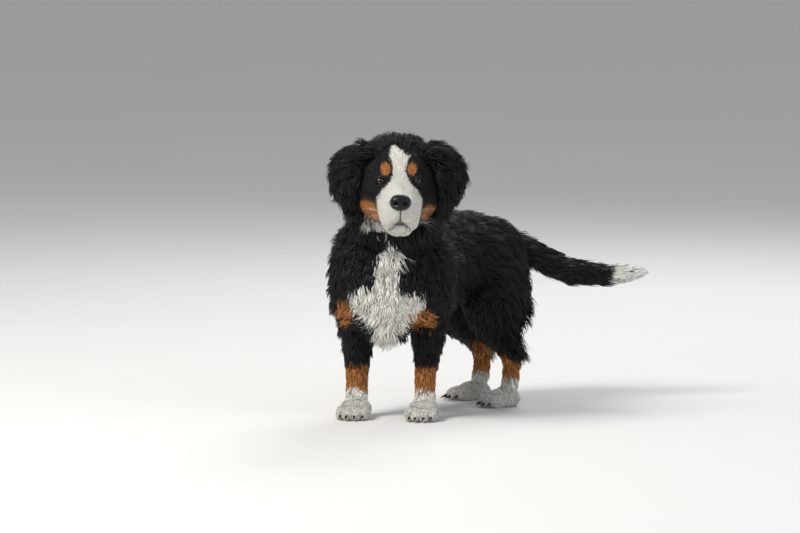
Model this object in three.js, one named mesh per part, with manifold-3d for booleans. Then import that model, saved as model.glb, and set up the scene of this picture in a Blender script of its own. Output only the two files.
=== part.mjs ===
// A Bernese mountain dog puppy of about three months, standing still, its head and tail turned to its left.
// Millimetres. The middle of the back points along -Y to the front, +X is the dog's left and +Z is up.
// The body is first described straight, with y running back from the forelegs, and is then bent sideways.
import * as THREE from "three";
import { mergeVertices } from "three/addons/utils/BufferGeometryUtils.js";
import Module from "manifold-3d";

const wasm = await Module();
wasm.setup();

const degrees = THREE.MathUtils.degToRad;
const clamp = THREE.MathUtils.clamp;
const V = (x, y, z) => new THREE.Vector3(x, y, z);
const X = V(1, 0, 0);
const Y = V(0, 1, 0);
const Z = V(0, 0, 1);
const DOWN = V(0, 0, -1);
const MIRROR = V(-1, 1, 1);

// Driving dimensions of the bare body, without its coat
const WITHERS = 345;
const CROUP = WITHERS - 9;
const CHEST_UNDER = WITHERS - 177;
const BARREL = 83;
const HIP_AT = 262;
const SPINE_TURN = degrees(55);
const FORE_APART = 61;
const HIND_APART = 60;
const TAIL_ROOT = V(0, 312, 280);
const TAIL_BONE = 226;
const TAIL_SWING = degrees(14);
const TAIL_WHITE = 0.71;
const HEAD_ASIDE = 14;
const HEAD_AHEAD = 150;
const HEAD_UP = 428;
const HEAD_YAW = degrees(39.5);
const HEAD_PITCH = degrees(3.5);
const EYE = V(31.5, -4, 0);
const EYE_RADIUS = 9.5;
const EYE_TURN = degrees(16);
const LID_SIZE = V(12.5, 12, 11.5);
const EYE_OPENING = V(9, 8, 6);
const NOSE = V(0, -72, -27);
const NOSE_SIZE = V(17.5, 12, 13.5);
const MOUTH_GAP = 1.1;

// Heights at which the legs are parted, and the gap that all parts keep
const FORE_PART = 178;
const HIND_PART = 204;
const HOCK_PART = 84;
const WRIST_PART = 33;
const GAP = 0.3;
const SMOOTHING = 0.03;
const CLEARANCE = GAP + 5 * SMOOTHING;

// The share of the coat's depth that a form takes in: under half beneath locks, all where the coat is short
const UNDER_LOCKS = () => 0.45;
const SHORT = () => 1;
const { lerp, smoothstep } = THREE.MathUtils;
const SHORTER_BELOW = (share) => lerp(0.45, 1, smoothstep(share, 0.45, 0.8));
const FACE_FORWARD = (share) => lerp(1, 0.45, smoothstep(share, 0.5, 0.68));

// The spine is an arc between the shoulders at 0 and the hips, and runs straight on at both ends.
const SPINE_RADIUS = HIP_AT / SPINE_TURN;
function bend(p) {
  const along = clamp(p.y, 0, HIP_AT);
  const angle = (along - HIP_AT / 2) / SPINE_RADIUS;
  const reach = SPINE_RADIUS - p.x;
  const past = p.y - along;
  return V(
    SPINE_RADIUS - reach * Math.cos(angle) + past * Math.sin(angle),
    HIP_AT / 2 + reach * Math.sin(angle) + past * Math.cos(angle),
    p.z,
  );
}

// The head's own frame starts midway between the eyes, with the nose along -Y.
const SHOULDERS = bend(V(0, 0, 0));
const LOOK = degrees(37.5);
const HEAD = new THREE.Matrix4()
  .makeTranslation(
    SHOULDERS.x + HEAD_ASIDE * Math.cos(LOOK) + HEAD_AHEAD * Math.sin(LOOK),
    SHOULDERS.y + HEAD_ASIDE * Math.sin(LOOK) - HEAD_AHEAD * Math.cos(LOOK),
    HEAD_UP,
  )
  .multiply(new THREE.Matrix4().makeRotationZ(HEAD_YAW))
  .multiply(new THREE.Matrix4().makeRotationX(HEAD_PITCH));
const onHead = (p) => p.clone().applyMatrix4(HEAD);
const asIs = (p) => p.clone();

// A closed geometry as a solid, turned the right way round
function solid(geometry) {
  geometry.deleteAttribute("normal");
  geometry.deleteAttribute("uv");
  const merged = mergeVertices(geometry, 1e-4);
  const vertProperties = new Float32Array(merged.attributes.position.array);
  const triVerts = [];
  for (let i = 0; i < merged.index.count; i += 3) {
    const [a, b, c] = merged.index.array.slice(i, i + 3);
    if (a !== b && b !== c && c !== a) triVerts.push(a, b, c);
  }
  const make = (faces) => new wasm.Manifold(new wasm.Mesh({ numProp: 3, vertProperties, triVerts: faces }));
  const made = make(new Uint32Array(triVerts));
  return made.volume() > 0 ? made : make(new Uint32Array(triVerts.reverse()));
}

const join = (solids) => wasm.Manifold.union(solids);
const largest = (s) => s.decompose().sort((a, b) => b.volume() - a.volume())[0];
const beyond = (s, { normal, point }) => s.trimByPlane(normal.toArray(), normal.dot(point) + GAP / 2);
// A solid with a margin all round it, made of copies of itself shifted a little each way
function withClearance(s) {
  const shift = CLEARANCE * Math.sqrt(3);
  const ways = [X, Y, Z].flatMap((axis) => [axis, axis.clone().negate()]);
  return join([s, ...ways.map((way) => s.translate(way.clone().multiplyScalar(shift).toArray()))]);
}
const shortOf = (s, { normal, point }) => beyond(s, { normal: normal.clone().negate(), point });
const cutAbove = (s, high) => s.trimByPlane([0, 0, -1], -high);
const slice = (s, low, high) => cutAbove(s.trimByPlane([0, 0, 1], low), high);

// Smooth curves join a table's rows, whose first column is the place and whose others are values there
function between(rows, t) {
  const last = rows.length - 1;
  let i = 0;
  while (i < last - 1 && t > rows[i + 1][0]) i += 1;
  const [a, b] = [rows[i], rows[i + 1]];
  const step = b[0] - a[0];
  const s = (t - a[0]) / step;
  const slope = (k, c) => {
    const [p, q] = [rows[Math.max(k - 1, 0)], rows[Math.min(k + 1, last)]];
    return ((q[c] - p[c]) / (q[0] - p[0])) * step;
  };
  return a.map((value, c) => {
    const rise = b[c] - value;
    const [m, n] = [slope(i, c), slope(i + 1, c)];
    return value + s * (m + s * (3 * rise - 2 * m - n + s * (m + n - 2 * rise)));
  });
}

const DOME_STEPS = 3;
const signedPower = (x, power) => Math.sign(x) * Math.abs(x) ** power;

// A limb or trunk: an oval section carried along a path, closed by a dome at each end.
// A row is [place, x, y, z, half width, height above, depth below, squareness, coat depth].
// along runs from -1 to 0 over the first dome, 0 to 1 over the rows and 1 to 2 over the last dome.
// core gives the share of the coat that the form takes in at each place.
// The sections stand across axis where it is given, and otherwise across the path.
function tube({ rows, core, axis, side = X, domes, sides, steps, place = bend, bumps = [], cup = 0 }) {
  const [first, last] = [rows[0][0], rows.at(-1)[0]];
  const NUDGE = 1e-3;
  function depth(along) {
    const share = clamp(along, 0, 1);
    const coat = between(rows, first + share * (last - first))[8];
    return { coat, core: coat * core(share) };
  }
  function at(along, angle, grow) {
    const t = first + clamp(along, 0, 1) * (last - first);
    const [a, b] = [between(rows, Math.max(t - NUDGE, first)), between(rows, Math.min(t + NUDGE, last))];
    const tangent = axis ? axis.clone() : V(b[1] - a[1], b[2] - a[2], b[3] - a[3]).normalize();
    const right = side.clone().addScaledVector(tangent, -side.dot(tangent)).normalize();
    const up = right.clone().cross(tangent);
    const [, x, y, z, wide, high, deep, square] = between(rows, t);
    const over = ((along < 0 ? -along : Math.max(along - 1, 0)) * Math.PI) / 2;
    const dome = along < 0 ? -(domes[0] + grow) : domes[1] + grow;
    const shrink = Math.cos(over);
    const [c, s] = [Math.cos(angle), Math.sin(angle)];
    const p = V(x, y, z)
      .addScaledVector(tangent, dome * Math.sin(over))
      .addScaledVector(right, shrink * (wide + grow) * signedPower(c, 2 / square))
      .addScaledVector(up, shrink * ((s > 0 ? high : deep) + grow) * signedPower(s, 2 / square))
      .addScaledVector(up, cup * shrink * c * c);
    const push = V(0, 0, 0);
    for (const { centre, size, by } of bumps) {
      const far = p.clone().sub(centre).divide(size).lengthSq();
      push.addScaledVector(by, Math.exp(-far));
    }
    return p.add(push);
  }
  function make(extra = 0) {
    const rings = steps + 2 * DOME_STEPS;
    const g = new THREE.SphereGeometry(1, sides, rings);
    const position = g.attributes.position;
    for (let i = 0; i < position.count; i += 1) {
      const ring = Math.floor(i / (sides + 1));
      const angle = ((i % (sides + 1)) % sides) * ((2 * Math.PI) / sides);
      let along = (ring - DOME_STEPS) / steps;
      if (ring < DOME_STEPS) along = ring / DOME_STEPS - 1;
      if (ring > rings - DOME_STEPS) along = 1 + (ring - rings + DOME_STEPS) / DOME_STEPS;
      const p = place(at(along, angle, depth(along).core + extra));
      position.setXYZ(i, p.x, p.y, p.z);
    }
    return solid(g);
  }
  return { at, depth, make, place };
}

// An ellipsoid turned about the upright, in the frame that place reads
function ball(centre, radii, { place = bend, sides = 12, rings = 8, turn = 0 } = {}) {
  const make = (extra = 0) => {
    const g = new THREE.SphereGeometry(1, sides, rings);
    const position = g.attributes.position;
    const size = radii.clone().addScalar(extra);
    for (let i = 0; i < position.count; i += 1) {
      const p = V(position.getX(i), position.getY(i), position.getZ(i)).multiply(size);
      position.setXYZ(i, ...place(p.applyAxisAngle(Z, turn).add(centre)).toArray());
    }
    return solid(g);
  };
  return { make };
}

// A seeded draw from -1 to 1
let draws = 20;
function vary() {
  draws = (draws * 16807) % 2147483647;
  return (draws / 2147483647) * 2 - 1;
}

// A lock of hair: flat, tapered and ridged, rooted under a form's surface and reaching the tips of its coat.
// It follows the surface in the direction of lie, or leaves it in a straight line where free is set.
// Its widths and rises are shares, from root to tip, of its width and of the depth between core and tips.
const LOCK = {
  rows: 3,
  reach: [-0.95, 1.95],
  sunk: 6,
  widths: [0.75, 1, 0.7, 0],
  rises: [0, 0.35, 0.6, 0.4],
  ridge: 0.13,
  hollow: 0.12,
  sharpest: 0.45,
};
const TINY = 1e-6;
const CORNER_ASIDE = Math.sin(degrees(120));
function lock(form, along, angle, { lie, length, width, curl, stand = 1, free = false }) {
  const SMALL = 0.01;
  const spot = (a, b, grow) => form.place(form.at(a, b, form.depth(a).core + grow));
  const start = form.at(along, angle, 0);
  const flow = form.place(start.clone().add(lie)).sub(form.place(start)).normalize();
  const stations = [];
  let [a, b] = [along, angle];
  for (let j = 0; j <= LOCK.rows; j += 1) {
    const share = j / LOCK.rows;
    const root = stations[0];
    const here = spot(a, b, 0);
    const normal = spot(a, b, 1).sub(here).normalize();
    const reach = (form.depth(a).coat - form.depth(a).core) * stand;
    const rise = j === 0 ? -LOCK.sunk : reach * LOCK.rises[j];
    const onward = free && root && root.here.clone().addScaledVector(flow, length * share);
    stations.push(onward ? { here: onward, normal: root.normal, rise } : { here, normal, rise });
    const across = normal.clone().cross(flow).normalize();
    const step = flow
      .clone()
      .addScaledVector(normal, -flow.dot(normal))
      .addScaledVector(across, curl * Math.cos(share * Math.PI))
      .setLength(length / LOCK.rows);
    const pa = spot(a + SMALL, b, 0).sub(here).divideScalar(SMALL);
    const pb = spot(a, b + SMALL, 0).sub(here).divideScalar(SMALL);
    const [aa, ab, bb] = [pa.dot(pa), pa.dot(pb), pb.dot(pb)];
    const whole = aa * bb - ab * ab;
    a = clamp(a + (step.dot(pa) * bb - step.dot(pb) * ab) / whole, ...LOCK.reach);
    b += (step.dot(pb) * aa - step.dot(pa) * ab) / whole;
  }
  const points = stations.map(({ here, normal, rise }) => here.clone().addScaledVector(normal, rise));
  const pieces = points.slice(1).map((p, j) => p.clone().sub(points[j]).normalize());
  const isKinked = pieces.slice(1).some((piece, j) => piece.dot(pieces[j]) < LOCK.sharpest);
  function make() {
    const g = new THREE.ConeGeometry(1, 1, 3, LOCK.rows);
    const position = g.attributes.position;
    for (let i = 0; i < position.count; i += 1) {
      const j = Math.round((position.getY(i) + 0.5) * LOCK.rows);
      const [aside, up] = [position.getX(i), position.getZ(i)];
      const wide = LOCK.widths[j] * width;
      const half = ((aside / CORNER_ASIDE) * wide) / 2;
      let thick = wide * (up > 0 ? LOCK.ridge : -LOCK.hollow);
      if (Math.hypot(aside, up) < TINY) thick = 0;
      const [before, after] = [points[Math.max(j - 1, 0)], points[Math.min(j + 1, LOCK.rows)]];
      const tangent = after.clone().sub(before).normalize();
      const across = stations[j].normal.clone().cross(tangent).normalize();
      const p = points[j]
        .clone()
        .addScaledVector(across, half)
        .addScaledVector(stations[j].normal, thick);
      position.setXYZ(i, p.x, p.y, p.z);
    }
    return solid(g);
  }
  return { make, isKinked };
}

// Locks in rings over a form between two places, each ring half a step round from the last, all varied
const PROBES = 8;
const VARIETY = { place: 0.15, angle: 0.12, size: 0.15, swerve: 0.08, curl: 0.2 };
function cover(form, [from, to], angles, style) {
  const { rings, spacing, lie, length, width, curl = 0.15, ...more } = style;
  const [start, end] = angles.map(degrees);
  const locks = [];
  for (let ring = 0; ring < rings; ring += 1) {
    const along = from + ((to - from) * (ring + 0.5)) / rings;
    const probe = (_, i) => form.at(along, start + ((end - start) * i) / PROBES, 0);
    const round = Array.from({ length: PROBES + 1 }, probe);
    const arc = round.slice(1).reduce((sum, p, i) => sum + p.distanceTo(round[i]), 0);
    const count = Math.max(1, Math.round(arc / spacing));
    for (let k = 0; k < count; k += 1) {
      const turn = k + (ring % 2 ? 0.75 : 0.25) + VARIETY.angle * vary();
      const angle = start + ((end - start) * turn) / count;
      const swerve = V(vary(), vary(), vary()).multiplyScalar(VARIETY.swerve);
      const place = along + ((to - from) * VARIETY.place * vary()) / rings;
      locks.push(
        lock(form, place, angle, {
          lie: lie(Math.cos(angle), Math.sin(angle)).normalize().add(swerve),
          length: length * (1 + VARIETY.size * vary()),
          width: width * (1 + VARIETY.size * vary()),
          curl: curl * ((ring + k) % 2 ? 1 : -1) * (1 + VARIETY.curl * vary()),
          ...more,
        }),
      );
    }
  }
  return locks.filter((made) => !made.isKinked);
}

const mirrored = (rows) => rows.map(([place, x, ...rest]) => [place, -x, ...rest]);
const onBothSides = (bumps) =>
  bumps.flatMap(({ centre, size, by }) => [
    { centre, size, by },
    { centre: centre.clone().multiply(MIRROR), size, by: by.clone().multiply(MIRROR) },
  ]);

// Torso, from the breastbone to the rump
const torso = tube({
  rows: [
    [0, 0, -64, 250, 54, 58, 54, 2.1, 24],
    [35, 0, -34, 252, 80, 74, 78, 2.2, 26],
    [70, 0, 0, 256, 91, WITHERS - 256, 256 - CHEST_UNDER, 2.25, 25],
    [130, 0, 60, 259, BARREL + 4, WITHERS - 262, 86, 2.1, 23],
    [200, 0, 130, 261, BARREL, CROUP - 261, 78, 2.1, 21],
    [270, 0, 200, 262, 79, CROUP - 262, 68, 2.1, 22],
    [330, 0, HIP_AT, 258, 77, 71, 62, 2.1, 24],
    [370, 0, 302, 252, 64, 64, 58, 2, 26],
  ],
  core: UNDER_LOCKS,
  axis: Y,
  domes: [18, 28],
  sides: 20,
  steps: 10,
});

// Legs: the rows run down the limb, and above and below are its back and its front
const foreRows = [
  [0, FORE_APART - 6, 0, 262, 20, 34, 36, 2, 20],
  [1, FORE_APART, 4, 216, 28, 38, 38, 2, 18],
  [2, FORE_APART + 1, 13, 172, 22, 28, 25, 2, 15],
  [3, FORE_APART + 1, 8, 120, 18, 20, 18, 2, 12],
  [4, FORE_APART, 2, 72, 16.5, 17, 17, 2, 9],
  [5, FORE_APART, -2, 40, 18, 16, 17, 2, 6],
  [6, FORE_APART, -8, 20, 18, 14, 18, 2, 5],
];
const hindRows = [
  [0, HIND_APART - 14, HIP_AT - 2, 268, 24, 50, 42, 2, 24],
  [1, HIND_APART - 4, HIP_AT, 218, 31, 60, 48, 2, 23],
  [2, HIND_APART + 1, HIP_AT - 12, 172, 28, 48, 38, 2, 20],
  [3, HIND_APART + 1, HIP_AT, 134, 19, 27, 26, 2, 14],
  [4, HIND_APART, HIP_AT + 26, 106, 14, 17, 17, 2, 9],
  [5, HIND_APART, HIP_AT + 38, 88, 13, 14, 15, 2, 7],
];
const metatarsusRows = [
  [0, HIND_APART, HIP_AT + 42, 100, 12, 11, 13, 2, 7],
  [1, HIND_APART, HIP_AT + 40, 62, 14, 14, 14, 2, 7],
  [2, HIND_APART, HIP_AT + 36, 34, 15, 15, 15, 2, 6],
  [3, HIND_APART, HIP_AT + 30, 20, 16, 14, 16, 2, 5],
];
const limb = (rows, left, more) =>
  tube({ rows: left ? rows : mirrored(rows), axis: DOWN, domes: [10, 10], ...more });

// Tail: it leaves the rump, swings to the left and droops, and runs out level
const TAIL_AXIS = V(Math.sin(TAIL_SWING), Math.cos(TAIL_SWING), 0);
const tailAt = (share, rise = 0) =>
  TAIL_AXIS.clone()
    .multiplyScalar(share * TAIL_BONE)
    .add(TAIL_ROOT)
    .add(V(0, 0, rise));
const tail = tube({
  rows: [
    [0, -2, 19, 12],
    [0.2, -7, 16, 12],
    [0.5, -38, 14, 12],
    [0.75, -50, 12, 12],
    [1, -50, 7, 12],
  ].map(([share, rise, thick, coat]) => {
    const p = tailAt(share, rise);
    return [share, p.x, p.y, p.z, thick, thick, thick, 2, coat];
  }),
  core: UNDER_LOCKS,
  axis: TAIL_AXIS,
  domes: [8, 8],
  sides: 10,
  steps: 7,
});

// Head: muzzle, stop, brows, skull and cheeks
const skull = tube({
  rows: [
    [-66, 0, -66, -40, 26, 24, 25, 2.7, 1],
    [-52, 0, -52, -40, 34, 30, 30, 2.6, 2],
    [-35, 0, -35, -39, 36.5, 34, 31, 2.5, 2],
    [-18, 0, -18, -36, 39, 39, 33, 2.4, 3],
    [0, 0, 0, -28, 48, 47, 42, 2.3, 4],
    [14, 0, 14, -18, 56, 58, 54, 2.15, 7],
    [35, 0, 35, -12, 62, 66, 66, 2, 14],
    [60, 0, 60, -8, 62, 65, 68, 2, 16],
    [85, 0, 85, -6, 52, 56, 58, 2, 16],
  ],
  core: FACE_FORWARD,
  axis: Y,
  domes: [7, 20],
  sides: 26,
  steps: 17,
  place: onHead,
  bumps: onBothSides([
    { centre: V(27, -4, 17), size: V(13, 12, 9), by: V(2, -6, 2) },
    { centre: V(20, -44, -60), size: V(16, 24, 18), by: V(3, -3, -5) },
    { centre: V(34, -8, -62), size: V(16, 24, 16), by: V(4, 0, -5) },
    { centre: V(54, 26, -42), size: V(24, 24, 26), by: V(8, -2, -2) },
    { centre: V(34, -10, -24), size: V(12, 14, 14), by: V(-3, 3, 0) },
    { centre: V(0, -2, 14), size: V(7, 16, 16), by: V(0, 1.5, -0.5) },
  ]),
});
const jaw = tube({
  rows: [
    [-58, 0, -58, -73, 15, 8, 8, 2.4, 2],
    [-44, 0, -44, -74, 20, 9, 11, 2.3, 2],
    [-20, 0, -20, -73, 25, 10, 12, 2.2, 2],
    [10, 0, 10, -71, 30, 10, 14, 2, 3],
    [34, 0, 34, -69, 32, 10, 12, 2, 3],
  ],
  core: SHORT,
  axis: Y,
  domes: [6, 10],
  sides: 14,
  steps: 5,
  place: onHead,
});
const NOSTRIL = { at: V(8, -84, -28), size: V(3.4, 5, 3) };
const nose = ball(NOSE, NOSE_SIZE, { place: onHead, sides: 10, rings: 7 });

// Eyes, with the lids round them
const eyeAt = (turn) => EYE.clone().multiply(V(turn, 1, 1));
const ON_HEAD = { place: onHead, sides: 12, rings: 8 };
const EYE_SIZE = V(1, 1, 1).multiplyScalar(EYE_RADIUS);
const eyeBall = (turn) => ball(eyeAt(turn), EYE_SIZE, ON_HEAD);
const lids = (turn) => ball(eyeAt(turn), LID_SIZE, ON_HEAD);
function eyeOpening(turn) {
  const out = V(0, -EYE_RADIUS, 0).applyAxisAngle(Z, turn * EYE_TURN);
  return ball(eyeAt(turn).add(out), EYE_OPENING, { ...ON_HEAD, rings: 6, turn: turn * EYE_TURN });
}

// Neck, from between the shoulders to the back of the skull
const neck = tube({
  rows: [
    [bend(V(0, 40, 258)), 76, 82, 84],
    [bend(V(2, 0, 304)), 68, 70, 74],
    [bend(V(14, -32, 354)), 60, 60, 68],
    [onHead(V(0, 72, -10)), 52, 55, 60],
  ].map(([p, wide, high, deep], i) => [i, ...p.toArray(), wide, high, deep, 2, 25]),
  core: UNDER_LOCKS,
  side: V(Math.cos(HEAD_YAW), Math.sin(HEAD_YAW), 0),
  domes: [10, 10],
  sides: 16,
  steps: 6,
  place: asIs,
});

// Ears: a thin flap that leaves the side of the skull, folds over and hangs, cupped towards the cheek
const earRows = [
  [0, 44, 50, 43, 20, 7, 7, 2.2, 9],
  [1, 66, 49, 44, 25, 5, 5, 2.2, 10],
  [2, 84, 45, 28, 29, 4, 4, 2.2, 11],
  [3, 92, 40, 2, 30, 4, 4, 2.2, 11],
  [4, 90, 36, -25, 23, 3.5, 3.5, 2.1, 11],
  [5, 85, 33, -44, 12, 3, 3, 2, 11],
];
const EAR_SIDE = V(0.78, 0.62, 0);
const EAR_CUP = 9;
const earForm = (turn) =>
  tube({
    rows: turn > 0 ? earRows : mirrored(earRows),
    core: UNDER_LOCKS,
    side: EAR_SIDE.clone().multiply(V(turn, 1, 1)),
    domes: [4, 8],
    sides: 12,
    steps: 7,
    place: onHead,
    cup: turn * EAR_CUP,
  });

// Paws: a pad with four toes, flat where they stand, and a claw on each toe
const PAW_COAT = 3;
const TOES = [
  { aside: -18, ahead: 22, turn: -0.12 },
  { aside: -6.5, ahead: 30, turn: -0.03 },
  { aside: 6.5, ahead: 30, turn: 0.03 },
  { aside: 18, ahead: 22, turn: 0.12 },
];
const PAD_SIZE = V(25, 31, 18);
const TOE_SIZE = V(8.8, 17, 12);
const PAD_UP = 14;
const TOE_UP = 10;
function pawForms({ x, y, size }) {
  const pad = ball(V(x, y, PAD_UP * size), PAD_SIZE.clone().multiplyScalar(size), { sides: 10, rings: 5 });
  const toes = TOES.map(({ aside, ahead, turn }) => {
    const centre = V(x + aside * size, y - ahead * size, TOE_UP * size);
    return ball(centre, TOE_SIZE.clone().multiplyScalar(size), { sides: 6, rings: 5, turn: -turn });
  });
  return [pad, ...toes];
}
const CLAW = { length: 12, root: 3, up: 8, droop: 4, sunk: 4 };
function claw({ x, y, size }, toe) {
  const g = new THREE.ConeGeometry(CLAW.root, CLAW.length, 5, 2);
  const position = g.attributes.position;
  const front = V(x + toe.aside * size, y - (toe.ahead + TOE_SIZE.y) * size - PAW_COAT, CLAW.up);
  for (let i = 0; i < position.count; i += 1) {
    const share = position.getY(i) / CLAW.length + 0.5;
    const ahead = share * CLAW.length - CLAW.sunk;
    const p = V(position.getX(i), -ahead, position.getZ(i) - CLAW.droop * share ** 2);
    position.setXYZ(i, ...bend(p.add(front)).toArray());
  }
  return solid(g);
}

// Trunk, neck, skull and the tops of the legs are made whole and then parted.
const SIDES = { left: 1, right: -1 };
const legs = {};
for (const [name, turn] of Object.entries(SIDES)) {
  legs[name] = {
    fore: limb(foreRows, turn > 0, { core: SHORTER_BELOW, sides: 12, steps: 7 }),
    hind: limb(hindRows, turn > 0, { core: SHORTER_BELOW, sides: 12, steps: 6 }),
    metatarsus: limb(metatarsusRows, turn > 0, { core: SHORT, sides: 10, steps: 3 }),
  };
}
const ROUND = [0, 360];
const flankLie = (c, s) => V(0, 1, -0.5 * Math.abs(c) - (s < 0 ? 0.2 : 0));
const chestLie = (c) => V(0.3 * c, -0.2, -1);
const crownLie = (c, s) => V(0.5 * c, 1, s > 0 ? 0.1 : -0.3);
const legLie = (c, s) => V(0, 0.35 + 0.3 * Math.max(s, 0), -1);
const tailLie = () => TAIL_AXIS.clone().add(V(0, 0, -0.1));
const ruffLie = () => V(0, 0.25, -1).applyAxisAngle(Z, SPINE_TURN / 2);
const toTip = (c, s) => tailLie().sub(V(c, 0, s).multiplyScalar(0.3));
const COAT = {
  flank: { rings: 3, spacing: 78, length: 124, width: 70, lie: flankLie },
  belly: { rings: 1, spacing: 70, length: 130, width: 52, lie: flankLie },
  rump: { rings: 2, spacing: 86, length: 62, width: 66, lie: () => V(0, 0.35, -1) },
  chest: { rings: 3, spacing: 52, length: 58, width: 50, free: true, lie: chestLie },
  tuft: { rings: 1, spacing: 26, length: 44, width: 42, free: true, lie: chestLie },
  ruff: { rings: 3, spacing: 90, length: 80, width: 70, lie: ruffLie },
  crown: { rings: 2, spacing: 38, length: 46, width: 32, lie: crownLie },
  cheek: { rings: 1, spacing: 27, length: 38, width: 25, lie: (c) => V(0.3 * c, 0.55, -1) },
  shoulder: { rings: 1, spacing: 60, length: 76, width: 54, lie: legLie },
  thigh: { rings: 1, spacing: 66, length: 80, width: 60, lie: legLie },
  foreleg: { rings: 2, spacing: 60, length: 58, width: 44, lie: legLie },
  hindleg: { rings: 1, spacing: 64, length: 62, width: 48, lie: legLie },
  breeches: { rings: 2, spacing: 70, length: 74, width: 46, stand: 1.8, lie: () => V(0, 0.3, -1) },
  tail: { rings: 4, spacing: 54, length: 74, width: 40, lie: tailLie },
  tip: { rings: 1, spacing: 28, length: 40, width: 26, free: true, stand: 0.5, lie: toTip },
};
const outerSide = (turn) => (turn > 0 ? [-70, 105] : [75, 250]);
const fleshLocks = [
  ...cover(torso, [0.2, 0.98], [-40, 220], COAT.flank),
  ...cover(torso, [0.28, 0.8], [240, 300], COAT.belly),
  ...cover(torso, [1.0, 1.6], ROUND, COAT.rump),
  ...cover(torso, [-0.9, 0.2], [172, 368], COAT.chest),
  ...cover(torso, [-0.1, 0.16], [246, 294], COAT.tuft),
  ...cover(neck, [0.2, 1], ROUND, COAT.ruff),
  ...cover(skull, [0.62, 1], [-8, 188], COAT.crown),
  ...cover(skull, [0.56, 0.76], [-70, -14], COAT.cheek),
  ...cover(skull, [0.56, 0.76], [194, 250], COAT.cheek),
  ...Object.entries(SIDES).flatMap(([name, turn]) => [
    ...cover(legs[name].fore, [0.04, 0.32], outerSide(turn), COAT.shoulder),
    ...cover(legs[name].hind, [0.04, 0.34], outerSide(turn), COAT.thigh),
  ]),
];
const tops = Object.values(legs).flatMap(({ fore, hind }) => [
  slice(fore.make(), FORE_PART, WITHERS),
  slice(hind.make(), HIND_PART, WITHERS),
]);
const wholes = [torso, neck, skull, lids(1), lids(-1), ...fleshLocks].map((form) => form.make());
const sealed = join([...wholes, ...tops]);
const keepClear = withClearance(sealed);
const openings = [1, -1].flatMap((turn) => [eyeBall(turn).make(CLEARANCE), eyeOpening(turn).make()]);
const flesh = sealed.subtract(join([...openings, jaw.make(MOUTH_GAP)]));

const nape = { normal: V(0, -0.94, 0.34).transformDirection(HEAD), point: onHead(V(0, 72, 0)) };
const collar = { normal: V(0, -0.5, 0.866).applyAxisAngle(Z, SPINE_TURN / 2), point: bend(V(0, -25, 300)) };
const parts = new Map();
parts.set("head", beyond(flesh, nape));
parts.set("neck", beyond(shortOf(flesh, nape), collar));
parts.set("torso", shortOf(shortOf(flesh, nape), collar));
parts.set("lower_jaw", jaw.make());
const nostrils = [1, -1].map((turn) => {
  const at = NOSTRIL.at.clone().multiply(V(turn, 1, 1));
  return ball(at, NOSTRIL.size, { place: onHead, sides: 8, rings: 5 }).make();
});
parts.set("nose", nose.make().subtract(join([keepClear, ...nostrils])));

for (const [name, turn] of Object.entries(SIDES)) {
  parts.set(`eye_${name}`, eyeBall(turn).make());
  const ear = earForm(turn);
  const lie = () => V(0.12 * turn, 0, -1);
  const earLocks = [
    ...cover(ear, [0.18, 1], ROUND, { rings: 3, spacing: 80, length: 52, width: 44, lie }),
    ...cover(ear, [1, 1.4], ROUND, { rings: 1, spacing: 26, length: 24, width: 22, free: true, lie }),
  ];
  parts.set(`ear_${name}`, join([ear, ...earLocks].map((form) => form.make())).subtract(keepClear));
  const { fore, hind, metatarsus } = legs[name];
  const foreLocks = cover(fore, [0.36, 0.66], ROUND, COAT.foreleg);
  const hindLocks = [
    ...cover(hind, [0.36, 0.6], ROUND, COAT.hindleg),
    ...cover(hind, [0.16, 0.6], [60, 120], COAT.breeches),
  ];
  const foreleg = join([fore, ...foreLocks].map((form) => form.make()));
  const hindleg = join([hind, metatarsus, ...hindLocks].map((form) => form.make()));
  parts.set(`foreleg_${name}`, slice(foreleg, WRIST_PART + GAP, FORE_PART - GAP).subtract(keepClear));
  parts.set(`hindleg_${name}`, slice(hindleg, HOCK_PART + GAP, HIND_PART - GAP).subtract(keepClear));
  parts.set(`hock_${name}`, slice(hindleg, WRIST_PART + GAP, HOCK_PART));
  const paws = {
    fore: { x: turn * FORE_APART, y: -14, size: 1.08, leg: foreleg },
    hind: { x: turn * HIND_APART, y: HIP_AT + 24, size: 1, leg: hindleg },
  };
  for (const [end, spot] of Object.entries(paws)) {
    const paw = (extra) => join([...pawForms(spot).map((form) => form.make(PAW_COAT + extra)), spot.leg]);
    parts.set(`${end}paw_${name}`, slice(paw(0), 0, WRIST_PART));
    TOES.forEach((toe, i) => {
      parts.set(`claw_${end}_${name}_${i + 1}`, claw(spot, toe).subtract(paw(CLEARANCE)));
    });
  }
}

const tailRight = bend(tailAt(1)).sub(bend(tailAt(0))).normalize();
const white = { normal: tailRight, point: bend(tailAt(TAIL_WHITE)) };
const tailLocks = [
  ...cover(tail, [0.04, 0.92], ROUND, COAT.tail),
  ...cover(tail, [0.9, 1.3], ROUND, COAT.tip),
];
const wholeTail = join([tail, ...tailLocks].map((form) => form.make())).subtract(keepClear);
parts.set("tail", shortOf(wholeTail, white));
parts.set("tail_tip", beyond(wholeTail, white));

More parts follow.
